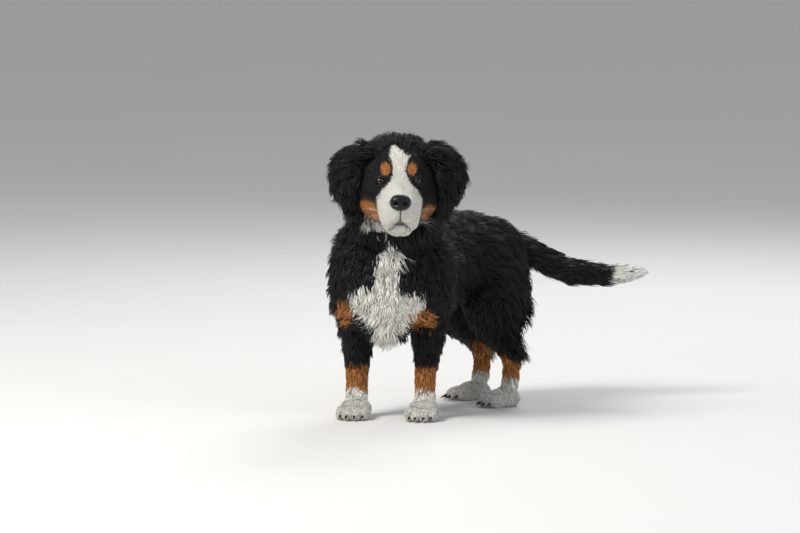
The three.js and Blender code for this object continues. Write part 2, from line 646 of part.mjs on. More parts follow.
// Each part keeps its largest body
const COAT_BLACK = { color: 0x17161a, roughness: 0.8 };
const COAT_WHITE = { color: 0xe9e4da, roughness: 0.9 };
const FINISHES = {
  claw: { color: 0x2b2724, roughness: 0.4 },
  eye: { color: 0x2a1810, roughness: 0.08 },
  nose: { color: 0x101012, roughness: 0.35 },
  jaw: COAT_WHITE,
  paw: COAT_WHITE,
  tip: COAT_WHITE,
  hock: { color: 0x8a4a20, roughness: 0.85 },
};
const dog = new THREE.Group();
for (const [name, s] of parts) {
  const { vertProperties, triVerts } = largest(s).simplify(SMOOTHING).getMesh();
  const g = new THREE.BufferGeometry();
  g.setAttribute("position", new THREE.BufferAttribute(new Float32Array(vertProperties), 3));
  g.setIndex(new THREE.BufferAttribute(new Uint32Array(triVerts), 1));
  const kind = Object.keys(FINISHES).find((word) => name.includes(word));
  const finish = kind ? FINISHES[kind] : COAT_BLACK;
  const mesh = new THREE.Mesh(g, new THREE.MeshStandardMaterial({ ...finish, metalness: 0 }));
  mesh.name = name;
  dog.add(mesh);
}

// The group's origin is the middle of the underside of the box round it.
const box = new THREE.Box3().setFromObject(dog);
dog.position.set(-(box.min.x + box.max.x) / 2, -(box.min.y + box.max.y) / 2, -box.min.z);
export default dog;
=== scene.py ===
"""Skin, eyes, nose, claws and coat of a Bernese mountain dog puppy, built round its solids."""

import math

import bpy
import numpy as np
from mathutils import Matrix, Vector


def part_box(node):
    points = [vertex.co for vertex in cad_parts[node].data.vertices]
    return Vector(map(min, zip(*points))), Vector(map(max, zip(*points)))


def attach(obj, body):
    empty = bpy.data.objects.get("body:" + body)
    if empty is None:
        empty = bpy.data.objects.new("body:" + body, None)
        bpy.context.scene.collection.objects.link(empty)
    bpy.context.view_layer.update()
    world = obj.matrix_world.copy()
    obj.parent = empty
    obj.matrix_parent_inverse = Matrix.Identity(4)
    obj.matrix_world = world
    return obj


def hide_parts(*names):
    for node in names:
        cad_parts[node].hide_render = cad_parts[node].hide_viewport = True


bl_info = {
    "name": "Mountain dog puppy",
    "version": (1, 0, 0),
    "blender": (4, 5, 0),
    "location": "3D View > Sidebar > Puppy",
    "description": "Skin, eyes, nose, claws and coat of a standing Bernese mountain dog puppy",
    "category": "Add Mesh",
}

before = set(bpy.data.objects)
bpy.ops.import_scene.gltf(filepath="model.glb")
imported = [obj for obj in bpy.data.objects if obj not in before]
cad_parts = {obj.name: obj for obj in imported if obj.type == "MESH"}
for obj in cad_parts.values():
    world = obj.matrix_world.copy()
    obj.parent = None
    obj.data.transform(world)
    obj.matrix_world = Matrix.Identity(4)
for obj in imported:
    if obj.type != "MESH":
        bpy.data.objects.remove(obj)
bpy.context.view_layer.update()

MM = 0.001
TAU = 2 * math.pi

# Driving dimensions of the bare body in millimetres, as the solids have them
WITHERS = 345.0
CROUP = WITHERS - 9
CHEST_UNDER = WITHERS - 177
BARREL = 83.0
HIP_AT = 262.0
SPINE_TURN = math.radians(55)
SPINE_RADIUS = HIP_AT / SPINE_TURN
FORE_APART = 61.0
HIND_APART = 60.0
TAIL_ROOT = np.array([0.0, 312.0, 280.0])
TAIL_BONE = 226.0
TAIL_SWING = math.radians(14)
TAIL_WHITE = 0.71
LOOK = math.radians(37.5)
HEAD_ASIDE = 14.0
HEAD_AHEAD = 150.0
HEAD_UP = 428.0
HEAD_YAW = math.radians(39.5)
HEAD_PITCH = math.radians(3.5)
EYE = np.array([31.5, -4.0, 0.0])
EYE_RADIUS = 9.5
EYE_TURN = math.radians(6)
EYE_RISE = math.radians(7)
LID_SIZE = np.array([12.5, 12.0, 11.5])
EYE_OPENING = np.array([9.0, 8.0, 6.0])
NOSE = np.array([0.0, -72.0, -27.0])
NOSE_SIZE = np.array([17.5, 12.0, 13.5])
SIDES = {"left": 1, "right": -1}


def unit(v):
    """Each vector divided by its length."""
    return v / np.maximum(np.linalg.norm(v, axis=-1, keepdims=True), 1e-12)


def dots(a, b):
    """Scalar products of matching vectors, kept as a column."""
    return np.sum(a * b, axis=-1, keepdims=True)


def smoothstep(x, low, high):
    """0 below low, 1 above high, and the cubic 3t^2 - 2t^3 between them."""
    t = np.clip((x - low) / (high - low), 0, 1)
    return t * t * (3 - 2 * t)


def falling(x, low, high):
    """1 below low, 0 above high: one less the smoothstep."""
    return 1 - smoothstep(x, low, high)


def along_arc(y):
    """How far along the spine's arc points lie, and the angle there, zero at the arc's middle."""
    along = np.clip(y, 0, HIP_AT)
    return along, (along - HIP_AT / 2) / SPINE_RADIUS


def bend(p):
    """The straight body bent sideways: y runs along an arc of the spine's radius and straight on past it."""
    along, angle = along_arc(p[:, 1])
    reach = SPINE_RADIUS - p[:, 0]
    past = p[:, 1] - along
    x = SPINE_RADIUS - reach * np.cos(angle) + past * np.sin(angle)
    y = HIP_AT / 2 + reach * np.sin(angle) + past * np.cos(angle)
    return np.stack([x, y, p[:, 2]], axis=1)


def straighten(p):
    """The inverse of bend: y from the polar angle round the spine's centre, x from the distance to it."""
    x, y = p[:, 0] - SPINE_RADIUS, p[:, 1] - HIP_AT / 2
    angle = np.clip(np.arctan2(y, -x), -SPINE_TURN / 2, SPINE_TURN / 2)
    outward = np.stack([-np.cos(angle), np.sin(angle)], axis=1)
    onward = np.stack([np.sin(angle), np.cos(angle)], axis=1)
    flat = np.stack([x, y], axis=1)
    reach = np.sum(flat * outward, axis=1)
    past = np.sum(flat * onward, axis=1)
    return np.stack([SPINE_RADIUS - reach, HIP_AT / 2 + angle * SPINE_RADIUS + past, p[:, 2]], axis=1)


def turned_with_spine(p, directions):
    """Directions on the straight body, turned as bend turns the body at the points p."""
    _, angle = along_arc(straighten(p)[:, 1])
    c, s = np.cos(angle), np.sin(angle)
    x, y, z = directions.T
    return np.stack([x * c + y * s, -x * s + y * c, z], axis=1)


def turn_z(angle):
    """Rotation matrix by an angle about the upright."""
    c, s = math.cos(angle), math.sin(angle)
    return np.array([[c, -s, 0], [s, c, 0], [0, 0, 1]])


def turn_x(angle):
    """Rotation matrix by an angle about x."""
    c, s = math.cos(angle), math.sin(angle)
    return np.array([[1, 0, 0], [0, c, -s], [0, s, c]])


SHOULDERS = bend(np.zeros((1, 3)))[0]
HEAD_TURN = turn_z(HEAD_YAW) @ turn_x(HEAD_PITCH)
HEAD_PLACE = SHOULDERS + turn_z(LOOK) @ np.array([HEAD_ASIDE, -HEAD_AHEAD, HEAD_UP])


def on_head(p):
    """Points of the head's own frame, which starts between the eyes, brought into the body's."""
    return p @ HEAD_TURN.T + HEAD_PLACE


def in_head(p):
    """The inverse of on_head."""
    return (p - HEAD_PLACE) @ HEAD_TURN


def as_is(p):
    """Points that already stand in the body's frame."""
    return p


# The solids stand in the middle of their box, so the shift between the two frames is read from an eye.
EYE_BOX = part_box("eye_left")
SHIFT = (np.array(EYE_BOX[0]) + np.array(EYE_BOX[1])) / 2 / MM - on_head(EYE[None])[0]


def to_scene(p):
    """Body millimetres to scene metres."""
    return (p + SHIFT) * MM


def to_body(p):
    """Scene metres to body millimetres."""
    return p / MM - SHIFT


def between(rows, t):
    """A table's values at places t, by cubic Hermite curves with slopes from the rows on both sides."""
    last = len(rows) - 1
    i = np.clip(np.searchsorted(rows[:, 0], t, side="left") - 1, 0, last - 1)
    a, b = rows[i], rows[i + 1]
    step = b[:, :1] - a[:, :1]
    s = (t[:, None] - a[:, :1]) / step

    def slope(k):
        p, q = rows[np.maximum(k - 1, 0)], rows[np.minimum(k + 1, last)]
        return (q - p) / (q[:, :1] - p[:, :1]) * step

    rise = b - a
    m, n = slope(i), slope(i + 1)
    return a + s * (m + s * (3 * rise - 2 * m - n + s * (m + n - 2 * rise)))


def signed_power(x, power):
    """The power of a number's size, with the number's sign."""
    return np.sign(x) * np.abs(x) ** power


SLOPE_STEP = 1e-3


class Form:
    """An oval section carried along a path and closed by a dome at each end.
    A row of its table is place, x, y, z, half width, height above, depth below and squareness."""

    def __init__(self, rows, domes, axis=None, side=(1, 0, 0), place=bend, bumps=(), cup=0.0):
        self.rows = np.array(rows, float)
        self.domes = domes
        self.axis = axis
        self.side = np.array(side, float)
        self.place = place
        self.bumps = bumps
        self.cup = cup

    def points(self, along, angle):
        """Superellipses: right * w * cos^(2/q) + up * h * sin^(2/q), shrunk by a cosine over the domes.
        along is -1 to 0 on the first dome, 0 to 1 on the rows and 1 to 2 on the last dome."""
        first, last = self.rows[0, 0], self.rows[-1, 0]
        t = first + np.clip(along, 0, 1) * (last - first)
        row = between(self.rows, t)
        ahead = between(self.rows, np.minimum(t + SLOPE_STEP, last))
        behind = between(self.rows, np.maximum(t - SLOPE_STEP, first))
        tangent = unit(ahead[:, 1:4] - behind[:, 1:4])
        if self.axis is not None:
            tangent = np.broadcast_to(np.array(self.axis, float), tangent.shape)
        right = unit(self.side - tangent * dots(tangent, self.side))
        up = np.cross(right, tangent)
        wide, high, deep, square = (row[:, k : k + 1] for k in (4, 5, 6, 7))
        over = np.where(along < 0, -along, np.maximum(along - 1, 0))[:, None] * math.pi / 2
        dome = np.where(along < 0, -self.domes[0], self.domes[1])[:, None]
        shrink = np.cos(over)
        c, s = np.cos(angle)[:, None], np.sin(angle)[:, None]
        p = row[:, 1:4] + tangent * dome * np.sin(over)
        p = p + right * shrink * wide * signed_power(c, 2 / square)
        p = p + up * shrink * np.where(s > 0, high, deep) * signed_power(s, 2 / square)
        p = p + up * self.cup * shrink * c * c
        push = np.zeros_like(p)
        for centre, size, by in self.bumps:
            push += np.exp(-np.sum(((p - centre) / size) ** 2, axis=1))[:, None] * by
        return self.place(p + push)


def both_sides(bumps):
    """Each bump as centre, size and push, and its mirror image."""
    mirror = np.array([-1, 1, 1])
    given = [tuple(np.array(v, float) for v in bump) for bump in bumps]
    return given + [(centre * mirror, size, by * mirror) for centre, size, by in given]


def on_side(rows, turn):
    """The rows of a left limb or ear, mirrored for the right one."""
    rows = np.array(rows, float)
    rows[:, 1] *= turn
    return rows


Y_AXIS = (0, 1, 0)
DOWN = (0, 0, -1)
TAIL_AXIS = np.array([math.sin(TAIL_SWING), math.cos(TAIL_SWING), 0])

TORSO_ROWS = [
    [0, 0, -64, 250, 54, 58, 54, 2.1],
    [35, 0, -34, 252, 80, 74, 78, 2.2],
    [70, 0, 0, 256, 91, WITHERS - 256, 256 - CHEST_UNDER, 2.25],
    [130, 0, 60, 259, BARREL + 4, WITHERS - 262, 86, 2.1],
    [200, 0, 130, 261, BARREL, CROUP - 261, 78, 2.1],
    [270, 0, 200, 262, 79, CROUP - 262, 68, 2.1],
    [330, 0, HIP_AT, 258, 77, 71, 62, 2.1],
    [370, 0, 302, 252, 64, 64, 58, 2],
]
FORE_ROWS = [
    [0, FORE_APART - 6, 0, 262, 20, 34, 36, 2],
    [1, FORE_APART, 4, 216, 28, 38, 38, 2],
    [2, FORE_APART + 1, 13, 172, 22, 28, 25, 2],
    [3, FORE_APART + 1, 8, 120, 18, 20, 18, 2],
    [4, FORE_APART, 2, 72, 16.5, 17, 17, 2],
    [5, FORE_APART, -2, 40, 18, 16, 17, 2],
    [6, FORE_APART, -8, 20, 18, 14, 18, 2],
]
HIND_ROWS = [
    [0, HIND_APART - 14, HIP_AT - 2, 268, 24, 50, 42, 2],
    [1, HIND_APART - 4, HIP_AT, 218, 31, 60, 48, 2],
    [2, HIND_APART + 1, HIP_AT - 12, 172, 28, 48, 38, 2],
    [3, HIND_APART + 1, HIP_AT, 134, 19, 27, 26, 2],
    [4, HIND_APART, HIP_AT + 26, 106, 14, 17, 17, 2],
    [5, HIND_APART, HIP_AT + 38, 88, 13, 14, 15, 2],
]
METATARSUS_ROWS = [
    [0, HIND_APART, HIP_AT + 42, 100, 12, 11, 13, 2],
    [1, HIND_APART, HIP_AT + 40, 62, 14, 14, 14, 2],
    [2, HIND_APART, HIP_AT + 36, 34, 15, 15, 15, 2],
    [3, HIND_APART, HIP_AT + 30, 20, 16, 14, 16, 2],
]
TAIL_ROWS = [
    [share, *(TAIL_ROOT + TAIL_AXIS * share * TAIL_BONE + [0, 0, rise]), thick, thick, thick, 2]
    for share, rise, thick in [(0, -2, 19), (0.2, -7, 16), (0.5, -38, 14), (0.75, -50, 12), (1, -50, 7)]
]
SKULL_ROWS = [
    [-66, 0, -66, -40, 26, 24, 25, 2.7],
    [-52, 0, -52, -40, 32.5, 30, 30, 2.6],
    [-35, 0, -35, -39, 34.5, 34, 31, 2.5],
    [-18, 0, -18, -36, 39, 39, 33, 2.4],
    [0, 0, 0, -28, 48, 47, 42, 2.3],
    [14, 0, 14, -18, 56, 58, 54, 2.15],
    [35, 0, 35, -12, 62, 66, 66, 2],
    [60, 0, 60, -8, 62, 65, 68, 2],
    [85, 0, 85, -6, 52, 56, 58, 2],
]
SKULL_BUMPS = [
    ((27, -4, 17), (13, 12, 9), (2, -6, 2)),
    ((21, -46, -62), (15, 22, 15), (2, -4, -10)),
    ((0, -70, -62), (8, 12, 12), (0, 1, 4.5)),
    ((34, -8, -62), (16, 24, 16), (4, 0, -5)),
    ((54, 26, -42), (24, 24, 26), (8, -2, -2)),
    ((34, -10, -24), (12, 14, 14), (-3, 3, 0)),
    ((0, -2, 14), (7, 16, 16), (0, 1.5, -0.5)),
]
JAW_ROWS = [
    [-58, 0, -58, -73, 14, 12, 9, 2.4],
    [-44, 0, -44, -74, 20, 9, 11, 2.3],
    [-20, 0, -20, -73, 25, 10, 12, 2.2],
    [10, 0, 10, -71, 30, 10, 14, 2],
    [34, 0, 34, -69, 32, 10, 12, 2],
]
NECK_BASE = np.array([[0, 40, 258], [2, 0, 304], [14, -32, 354]], float)
NECK_END = np.array([[0, 72, -10]], float)
NECK_PATH = np.concatenate([bend(NECK_BASE), on_head(NECK_END)])
NECK_SIZES = [(76, 82, 84), (68, 70, 74), (60, 60, 68), (52, 55, 60)]
NECK_ROWS = [[i, *p, *size, 2] for i, (p, size) in enumerate(zip(NECK_PATH, NECK_SIZES))]
EAR_ROWS = [
    [0, 44, 50, 43, 20, 7, 7, 2.2],
    [1, 66, 49, 44, 25, 5, 5, 2.2],
    [2, 84, 45, 28, 29, 4, 4, 2.2],
    [3, 92, 40, 2, 30, 4, 4, 2.2],
    [4, 90, 36, -25, 23, 3.5, 3.5, 2.1],
    [5, 85, 33, -44, 12, 3, 3, 2],
]
EAR_CUP = 9.0


def ball_rows(centre, radii):
    """A single section: with domes as deep as the ball it makes an ellipsoid, its path along y."""
    x, y, z = centre
    across, _, high = radii
    return [[k, x, y + k * 0.01, z, across, high, high, 2] for k in (0, 1)]


def ellipsoid(centre, radii, place=bend):
    """An ellipsoid as a form."""
    return Form(ball_rows(centre, radii), (radii[1], radii[1]), axis=Y_AXIS, place=place)


PAW_SPOTS = {"fore": (FORE_APART, -14.0, 1.08), "hind": (HIND_APART, HIP_AT + 24, 1.0)}
TOES = [(-18.0, 22.0), (-6.5, 30.0), (6.5, 30.0), (18.0, 22.0)]
PAD_SIZE = np.array([25.0, 31.0, 18.0])
TOE_SIZE = np.array([8.8, 17.0, 12.0])
PAD_UP = 14.0
TOE_UP = 10.0


LIMB_DOMES = (10, 10)
EAR_DOMES = (4, 8)
EAR_SIDE = (0.78, 0.62, 0)
LIMBS = {"fore": FORE_ROWS, "hind": HIND_ROWS, "metatarsus": METATARSUS_ROWS}


def make_forms():
    """Every form of the bare body by name."""
    forms = {
        "torso": Form(TORSO_ROWS, (18, 28), axis=Y_AXIS),
        "neck": Form(NECK_ROWS, (10, 10), side=turn_z(HEAD_YAW)[:, 0], place=as_is),
        "tail": Form(TAIL_ROWS, (8, 8), axis=TAIL_AXIS),
        "skull": Form(SKULL_ROWS, (7, 20), axis=Y_AXIS, place=on_head, bumps=both_sides(SKULL_BUMPS)),
        "jaw": Form(JAW_ROWS, (6, 10), axis=Y_AXIS, place=on_head),
    }
    for side, turn in SIDES.items():
        mirror = np.array([turn, 1, 1])
        for limb, rows in LIMBS.items():
            forms[f"{limb}_{side}"] = Form(on_side(rows, turn), LIMB_DOMES, axis=DOWN)
        ear, ear_side = on_side(EAR_ROWS, turn), EAR_SIDE * mirror
        forms[f"ear_{side}"] = Form(ear, EAR_DOMES, side=ear_side, place=on_head, cup=turn * EAR_CUP)
        forms[f"lid_{side}"] = ellipsoid(EYE * mirror, LID_SIZE, on_head)
        for end, (apart, at, size) in PAW_SPOTS.items():
            forms[f"pad_{end}_{side}"] = ellipsoid((apart * turn, at, PAD_UP * size), PAD_SIZE * size)
            for i, (aside, ahead) in enumerate(TOES):
                centre = (apart * turn + aside * size, at - ahead * size, TOE_UP * size)
                forms[f"toe{i}_{end}_{side}"] = ellipsoid(centre, TOE_SIZE * size)
    return forms


FORMS = make_forms()
FORM_NAMES = list(FORMS)
KINDS = np.array([name.split("_")[0].rstrip("0123") for name in FORM_NAMES])


def grid_faces(rings, sides):
    """Triangles of a closed grid: rings of points in order, and two more points as the poles at its ends."""
    ring, side = np.meshgrid(np.arange(rings - 1), np.arange(sides), indexing="ij")
    a = (ring * sides + side).ravel()
    b = (ring * sides + (side + 1) % sides).ravel()
    walls = np.concatenate([np.stack([a, b, b + sides], 1), np.stack([a, b + sides, a + sides], 1)])
    k = np.arange(sides)
    after = (k + 1) % sides
    first, last = rings * sides, rings * sides + 1
    base = (rings - 1) * sides
    start = np.stack([np.full(sides, first), after, k], 1)
    end = np.stack([np.full(sides, last), base + k, base + after], 1)
    return np.concatenate([walls, start, end])


def form_grid(form, sides, steps, dome_steps=6):
    """Points, along and angle of a form's grid with its two poles, and its triangles."""
    before = np.linspace(-1, 0, dome_steps, endpoint=False)[1:]
    rows = np.linspace(0, 1, steps, endpoint=False)
    after = np.linspace(1, 2, dome_steps, endpoint=False)
    along = np.concatenate([before, rows, after])
    angle = np.arange(sides) * TAU / sides
    a = np.concatenate([np.repeat(along, sides), [-1, 2]])
    b = np.concatenate([np.tile(angle, len(along)), [0, 0]])
    return form.points(a, b), a, b, grid_faces(len(along), sides)


def outward(points, faces):
    """The triangles, turned so that the volume they close is positive."""
    a, b, c = (points[faces[:, k]] for k in range(3))
    volume = np.sum(a * np.cross(b, c))
    return faces if volume > 0 else faces[:, ::-1]


def new_mesh(name, points, faces):
    """A smooth mesh of triangles from whole arrays."""
    mesh = bpy.data.meshes.new(name)
    mesh.vertices.add(len(points))
    mesh.vertices.foreach_set("co", points.astype(np.float32).ravel())
    mesh.loops.add(3 * len(faces))
    mesh.loops.foreach_set("vertex_index", faces.astype(np.int32).ravel())
    mesh.polygons.add(len(faces))
    mesh.polygons.foreach_set("loop_start", np.arange(0, 3 * len(faces), 3, dtype=np.int32))
    mesh.update(calc_edges=True)
    mesh.shade_smooth()
    return mesh


def new_object(name, mesh):
    """An object at the origin, linked to the scene."""
    made = bpy.data.objects.new(name, mesh)
    bpy.context.scene.collection.objects.link(made)
    return made


def joined(grids):
    """Several grids' points and triangles as one."""
    starts = np.cumsum([0] + [len(points) for points, _ in grids[:-1]])
    points = np.concatenate([points for points, _ in grids])
    faces = np.concatenate([outward(points, faces) + start for (points, faces), start in zip(grids, starts)])
    return points, faces


def apply_modifiers(made):
    """Puts the mesh that an object's modifiers give in the place of its own."""
    depsgraph = bpy.context.evaluated_depsgraph_get()
    old = made.data
    made.data = bpy.data.meshes.new_from_object(made.evaluated_get(depsgraph))
    made.modifiers.clear()
    bpy.data.meshes.remove(old)


def cut_or_join(made, other, operation):
    """A Boolean of two closed objects; the other one is removed."""
    boolean = made.modifiers.new("Boolean", "BOOLEAN")
    boolean.operation = operation
    boolean.solver = "MANIFOLD"
    boolean.object = other
    apply_modifiers(made)
    bpy.data.objects.remove(other)


FUSED_GRID = (48, 40)
BALL_GRID = (48, 2, 12)


def fused(name, form_names, voxel, smoothing):
    """Forms remeshed into one closed surface by voxels of that size in millimetres, and smoothed."""
    grids = []
    for form_name in form_names:
        points, _, _, faces = form_grid(FORMS[form_name], *FUSED_GRID)
        grids.append((to_scene(points), faces))
    made = new_object(name, new_mesh(name, *joined(grids)))
    remesh = made.modifiers.new("Remesh", "REMESH")
    remesh.mode = "VOXEL"
    remesh.voxel_size = voxel * MM
    smooth = made.modifiers.new("Smooth", "SMOOTH")
    smooth.factor = 0.5
    smooth.iterations = smoothing
    apply_modifiers(made)
    return made


def ball_object(name, centre, radii, turn=0.0):
    """A fine ellipsoid in the head's frame, turned about its upright."""
    ball = ellipsoid((0, 0, 0), radii, lambda p: on_head(p @ turn_z(turn).T + centre))
    points, _, _, faces = form_grid(ball, *BALL_GRID)
    return new_object(name, new_mesh(name, *joined([(to_scene(points), faces)])))


class Near:
    """Finds a point of a cloud close to each given point, by a grid of cells that each hold one index."""

    def __init__(self, cloud, cell, reach):
        """Each point writes its index into the cells round it, furthest first, so that near ones stay."""
        self.cell = cell
        self.low = cloud.min(axis=0) - (reach + 1) * cell
        self.shape = np.ceil((cloud.max(axis=0) + (reach + 1) * cell - self.low) / cell).astype(int) + 1
        self.cells = np.full(self.shape, -1, np.int32)
        home = ((cloud - self.low) / cell).astype(int)
        steps = np.arange(-reach, reach + 1)
        offsets = np.stack(np.meshgrid(steps, steps, steps, indexing="ij"), axis=-1).reshape(-1, 3)
        far = np.linalg.norm(offsets, axis=1)
        order = np.argsort(-far)
        for offset in offsets[order[far[order] <= reach + 0.5]]:
            x, y, z = (home + offset).T
            self.cells[x, y, z] = np.arange(len(cloud))

    def __call__(self, points):
        """Indices, or -1 where nothing of the cloud is in reach."""
        key = ((points - self.low) / self.cell).astype(int)
        inside = np.all((key >= 0) & (key < self.shape), axis=1)
        x, y, z = np.clip(key, 0, self.shape - 1).T
        return np.where(inside, self.cells[x, y, z], -1)


def get_array(source, attribute, width, kind=np.float32):
    """An array read from a mesh's collection."""
    values = np.zeros(len(source) * width, kind)
    source.foreach_get(attribute, values)
    return values.reshape(-1, width) if width > 1 else values


def set_attribute(mesh, name, values):
    """A number for each vertex, under a name that the materials read."""
    attribute = mesh.attributes.new(name, "FLOAT", "POINT")
    attribute.data.foreach_set("value", values.astype(np.float32))


def soft_spot(p, centre, size):
    """1 at the middle of an ellipse and 0 from just outside it."""
    far = np.linalg.norm((p - np.array(centre)) / np.array(size), axis=1)
    return falling(far, 0.8, 1.2)


def band(x, low, high, soft):
    """1 where x is between low and high, fading over soft at both ends."""
    return smoothstep(x, low - soft, low + soft) * falling(x, high - soft, high + soft)


# Edges of the white on the face and on the chest: height, right edge and left edge in millimetres.
# The face's are in the head's frame, the chest's beside the shoulders along the line of sight.
BLAZE = np.array(
    [
        [-200, -40, 41],
        [-30, -38, 39],
        [-13, -30, 31],
        [2, -15, 16],
        [16, -10, 11],
        [28, -11.5, 12.5],
        [34, -12.5, 16],
        [39, -15.5, 18.5],
        [43.5, -14, 9],
        [47.5, -13, 2],
        [51, -12, -2],
        [55, -10.5, -5.5],
    ],
    float,
)
CHEST = np.array(
    [
        [120, -22, -2],
        [140, -34, 14],
        [158, -42, 28],
        [172, -57, 34],
        [186, -66, 48],
        [204, -72, 59],
        [213, -72, 60],
        [219, -71, 46],
        [225, -66, 18],
        [231, -46, 15],
        [237, -32, 13],
        [262, -30, 14],
        [280, -25, 23],
        [292, -21, 25],
        [301, -15, 19],
        [306, -8, 9],
    ],
    float,
)


def within(x, z, edges, soft):
    """1 between a table's two edges at each height and inside its heights, fading over soft."""
    left, right = (np.interp(z, edges[:, 0], edges[:, k]) for k in (1, 2))
    return band(x, left, right, soft) * band(z, edges[0, 0], edges[-1, 0], soft)


def in_view(p):
    """How far points stand beside the shoulders and how high, seen along the line of sight."""
    aside = (p - SHOULDERS) @ np.array([math.cos(LOOK), math.sin(LOOK), 0])
    return np.stack([aside, p[:, 2]], axis=1)


def tail_share(s):
    """How far along the tail points of the straight body lie, 0 at its root and 1 at the bone's end."""
    return (s - TAIL_ROOT) @ TAIL_AXIS / TAIL_BONE


# The middle and half size of each rounded mark, on the face and throat in the head's frame from the front,
# on the shoulders along the line of sight, and under the tail on the straight body
BROW = ((22.5, 19.5), (7.8, 9.4))
CHEEK_RIGHT = ((-53, -63), (21, 29))
CHEEK_LEFT = ((50, -57), (13, 16))
RUFF = ((-38, -92), (24, 11))
SHOULDER_RIGHT = ((-83, 184), (14, 25))
SHOULDER_LEFT = ((58, 176), (22, 17))
UNDER_TAIL = ((0, 330, 246), (22, 26, 16))
TIP_WHITE_FROM = TAIL_WHITE + 0.18
TIP_WHITE_TO = TAIL_WHITE + 0.22


def head_markings(h):
    """White blaze, muzzle and throat, turned dark along the mouth line by the lips' dark hair and a painted
    shadow of the mouth opening, rust brows and cheeks with painted shade on the left one, in the head's
    frame.
    """
    x, y, z = h.T
    blaze = within(x, z, BLAZE, 1.5) * falling(y, 40, 46) * falling(y - 0.7 * z, 4, 12)
    throat = falling(z, -79, -73) * falling(np.abs(x), 46, 56) * falling(y, 50, 62)
    # A dark band along the mouth line: the lips' dark hair together with a painted shadow of the mouth
    # opening.
    lip_and_mouth_shadow = np.exp(-((x / 12) ** 2 + ((z + 66) / 3.0) ** 2)) * falling(y, -52, -44)
    white = np.maximum(blaze, throat) * (1 - 0.9 * lip_and_mouth_shadow)
    seen = h[:, [0, 2]]
    paired = np.stack([np.abs(x + 0.5), z], axis=1)
    brow = soft_spot(paired, *BROW) * falling(y, 20, 30)
    # The left cheek's rust is mixed at three quarters: painted shade on the side of the face away from the
    # light.
    cheek = soft_spot(seen, *CHEEK_RIGHT) + 0.75 * soft_spot(seen, *CHEEK_LEFT)
    return white, np.maximum(brow, cheek * falling(y, 40, 56))


def body_markings(p):
    """White chest, belly, paws and tail end, rust on the chest's sides, the legs and under the tail."""
    s, h, seen = straighten(p), in_head(p), in_view(p)
    x, y, z = s.T
    middle = np.abs(x)
    front = falling(y, -24, -8)
    is_fore = falling(y, 110, 130)
    is_hind = smoothstep(y, 196, 214)
    white = [
        within(seen[:, 0], seen[:, 1], CHEST, 2.0) * front,
        soft_spot(h[:, [0, 2]], *RUFF) * falling(h[:, 1], 70, 90),
        falling(z, 168, 176) * falling(middle, 16, 24) * band(y, -60, 90, 6),
        falling(z + 0.4 * y, 38, 44) * is_fore,
        falling(z, 42, 48) * (1 - is_fore),
        smoothstep(tail_share(s), TIP_WHITE_FROM, TIP_WHITE_TO) * (y > TAIL_ROOT[1]),
    ]
    rust = [
        (soft_spot(seen, *SHOULDER_RIGHT) + soft_spot(seen, *SHOULDER_LEFT)) * front,
        falling(z, 82, 94) * is_fore,
        falling(z + 0.5 * (y - HIP_AT), 92, 104) * is_hind,
        falling(middle, 44, 52) * band(z, 60, 102, 8) * is_hind,
        soft_spot(s, *UNDER_TAIL),
    ]
    return np.maximum.reduce(white), np.maximum.reduce(rust)


def markings(p, form):
    """White and rust shares of body points that lie on the numbered forms; the ears are black."""
    is_head = np.isin(KINDS[form], ["skull", "jaw", "lid"])
    white_head, rust_head = head_markings(in_head(p))
    white_body, rust_body = body_markings(p)
    black = KINDS[form] == "ear"
    white = np.clip(np.where(is_head, white_head, white_body), 0, 1) * ~black
    rust = np.clip(np.where(is_head, rust_head, rust_body), 0, 1) * ~black
    return white, rust * (1 - white)


def eye_direction(turn):
    """Rotation of the eye opening and the gaze on one side: a little outward and up."""
    return turn_z(turn * EYE_TURN) @ turn_x(-EYE_RISE)


SMOOTHING = {"body": 6, "paws": 3, "head": 5}
SOCKET_GAP = 0.15
UNDER_FLOOR = ((-0.6, -0.6, -0.2), (0.6, 0.6, 0.0))


def make_skin(settings):
    """The skin of the whole animal: head, paws and body remeshed at their own fineness and joined."""
    heads = ["skull", "jaw", "lid_left", "lid_right", "ear_left", "ear_right"]
    paws = [name for name in FORM_NAMES if name.startswith(("pad", "toe"))]
    rest = [name for name in FORM_NAMES if name not in heads + paws]
    skin = fused("skin", rest, settings.body_voxel, SMOOTHING["body"])
    cut_or_join(skin, fused("paws", paws, settings.paw_voxel, SMOOTHING["paws"]), "UNION")
    cut_or_join(skin, fused("head_skin", heads, settings.head_voxel, SMOOTHING["head"]), "UNION")
    for turn in SIDES.values():
        centre = EYE * [turn, 1, 1]
        cut_or_join(skin, ball_object("socket", centre, np.full(3, EYE_RADIUS + SOCKET_GAP)), "DIFFERENCE")
        ahead = eye_direction(turn) @ np.array([0, -EYE_RADIUS, 0])
        cut_or_join(skin, ball_object("opening", centre + ahead, EYE_OPENING, turn * EYE_TURN), "DIFFERENCE")
    cut_or_join(skin, new_object("under", new_mesh("under", *box_grid(*UNDER_FLOOR))), "DIFFERENCE")
    return skin


def keep_largest(made):
    """Keeps a mesh's largest part: in each part the lowest vertex number spreads along the edges."""
    mesh = made.data
    ends = get_array(mesh.edges, "vertices", 2, np.int32)
    part = np.arange(len(mesh.vertices))
    spreading = True
    while spreading:
        lowest = np.minimum(part[ends[:, 0]], part[ends[:, 1]])
        spread = part.copy()
        np.minimum.at(spread, ends[:, 0], lowest)
        np.minimum.at(spread, ends[:, 1], lowest)
        spread = spread[spread]
        spreading = not np.array_equal(spread, part)
        part = spread
    kept = part == np.bincount(part).argmax()
    number = np.cumsum(kept) - 1
    points = get_array(mesh.vertices, "co", 3)
    faces = get_array(mesh.loops, "vertex_index", 1, np.int32).reshape(-1, 3)
    made.data = new_mesh(made.name, points[kept], number[faces[kept[faces[:, 0]]]])


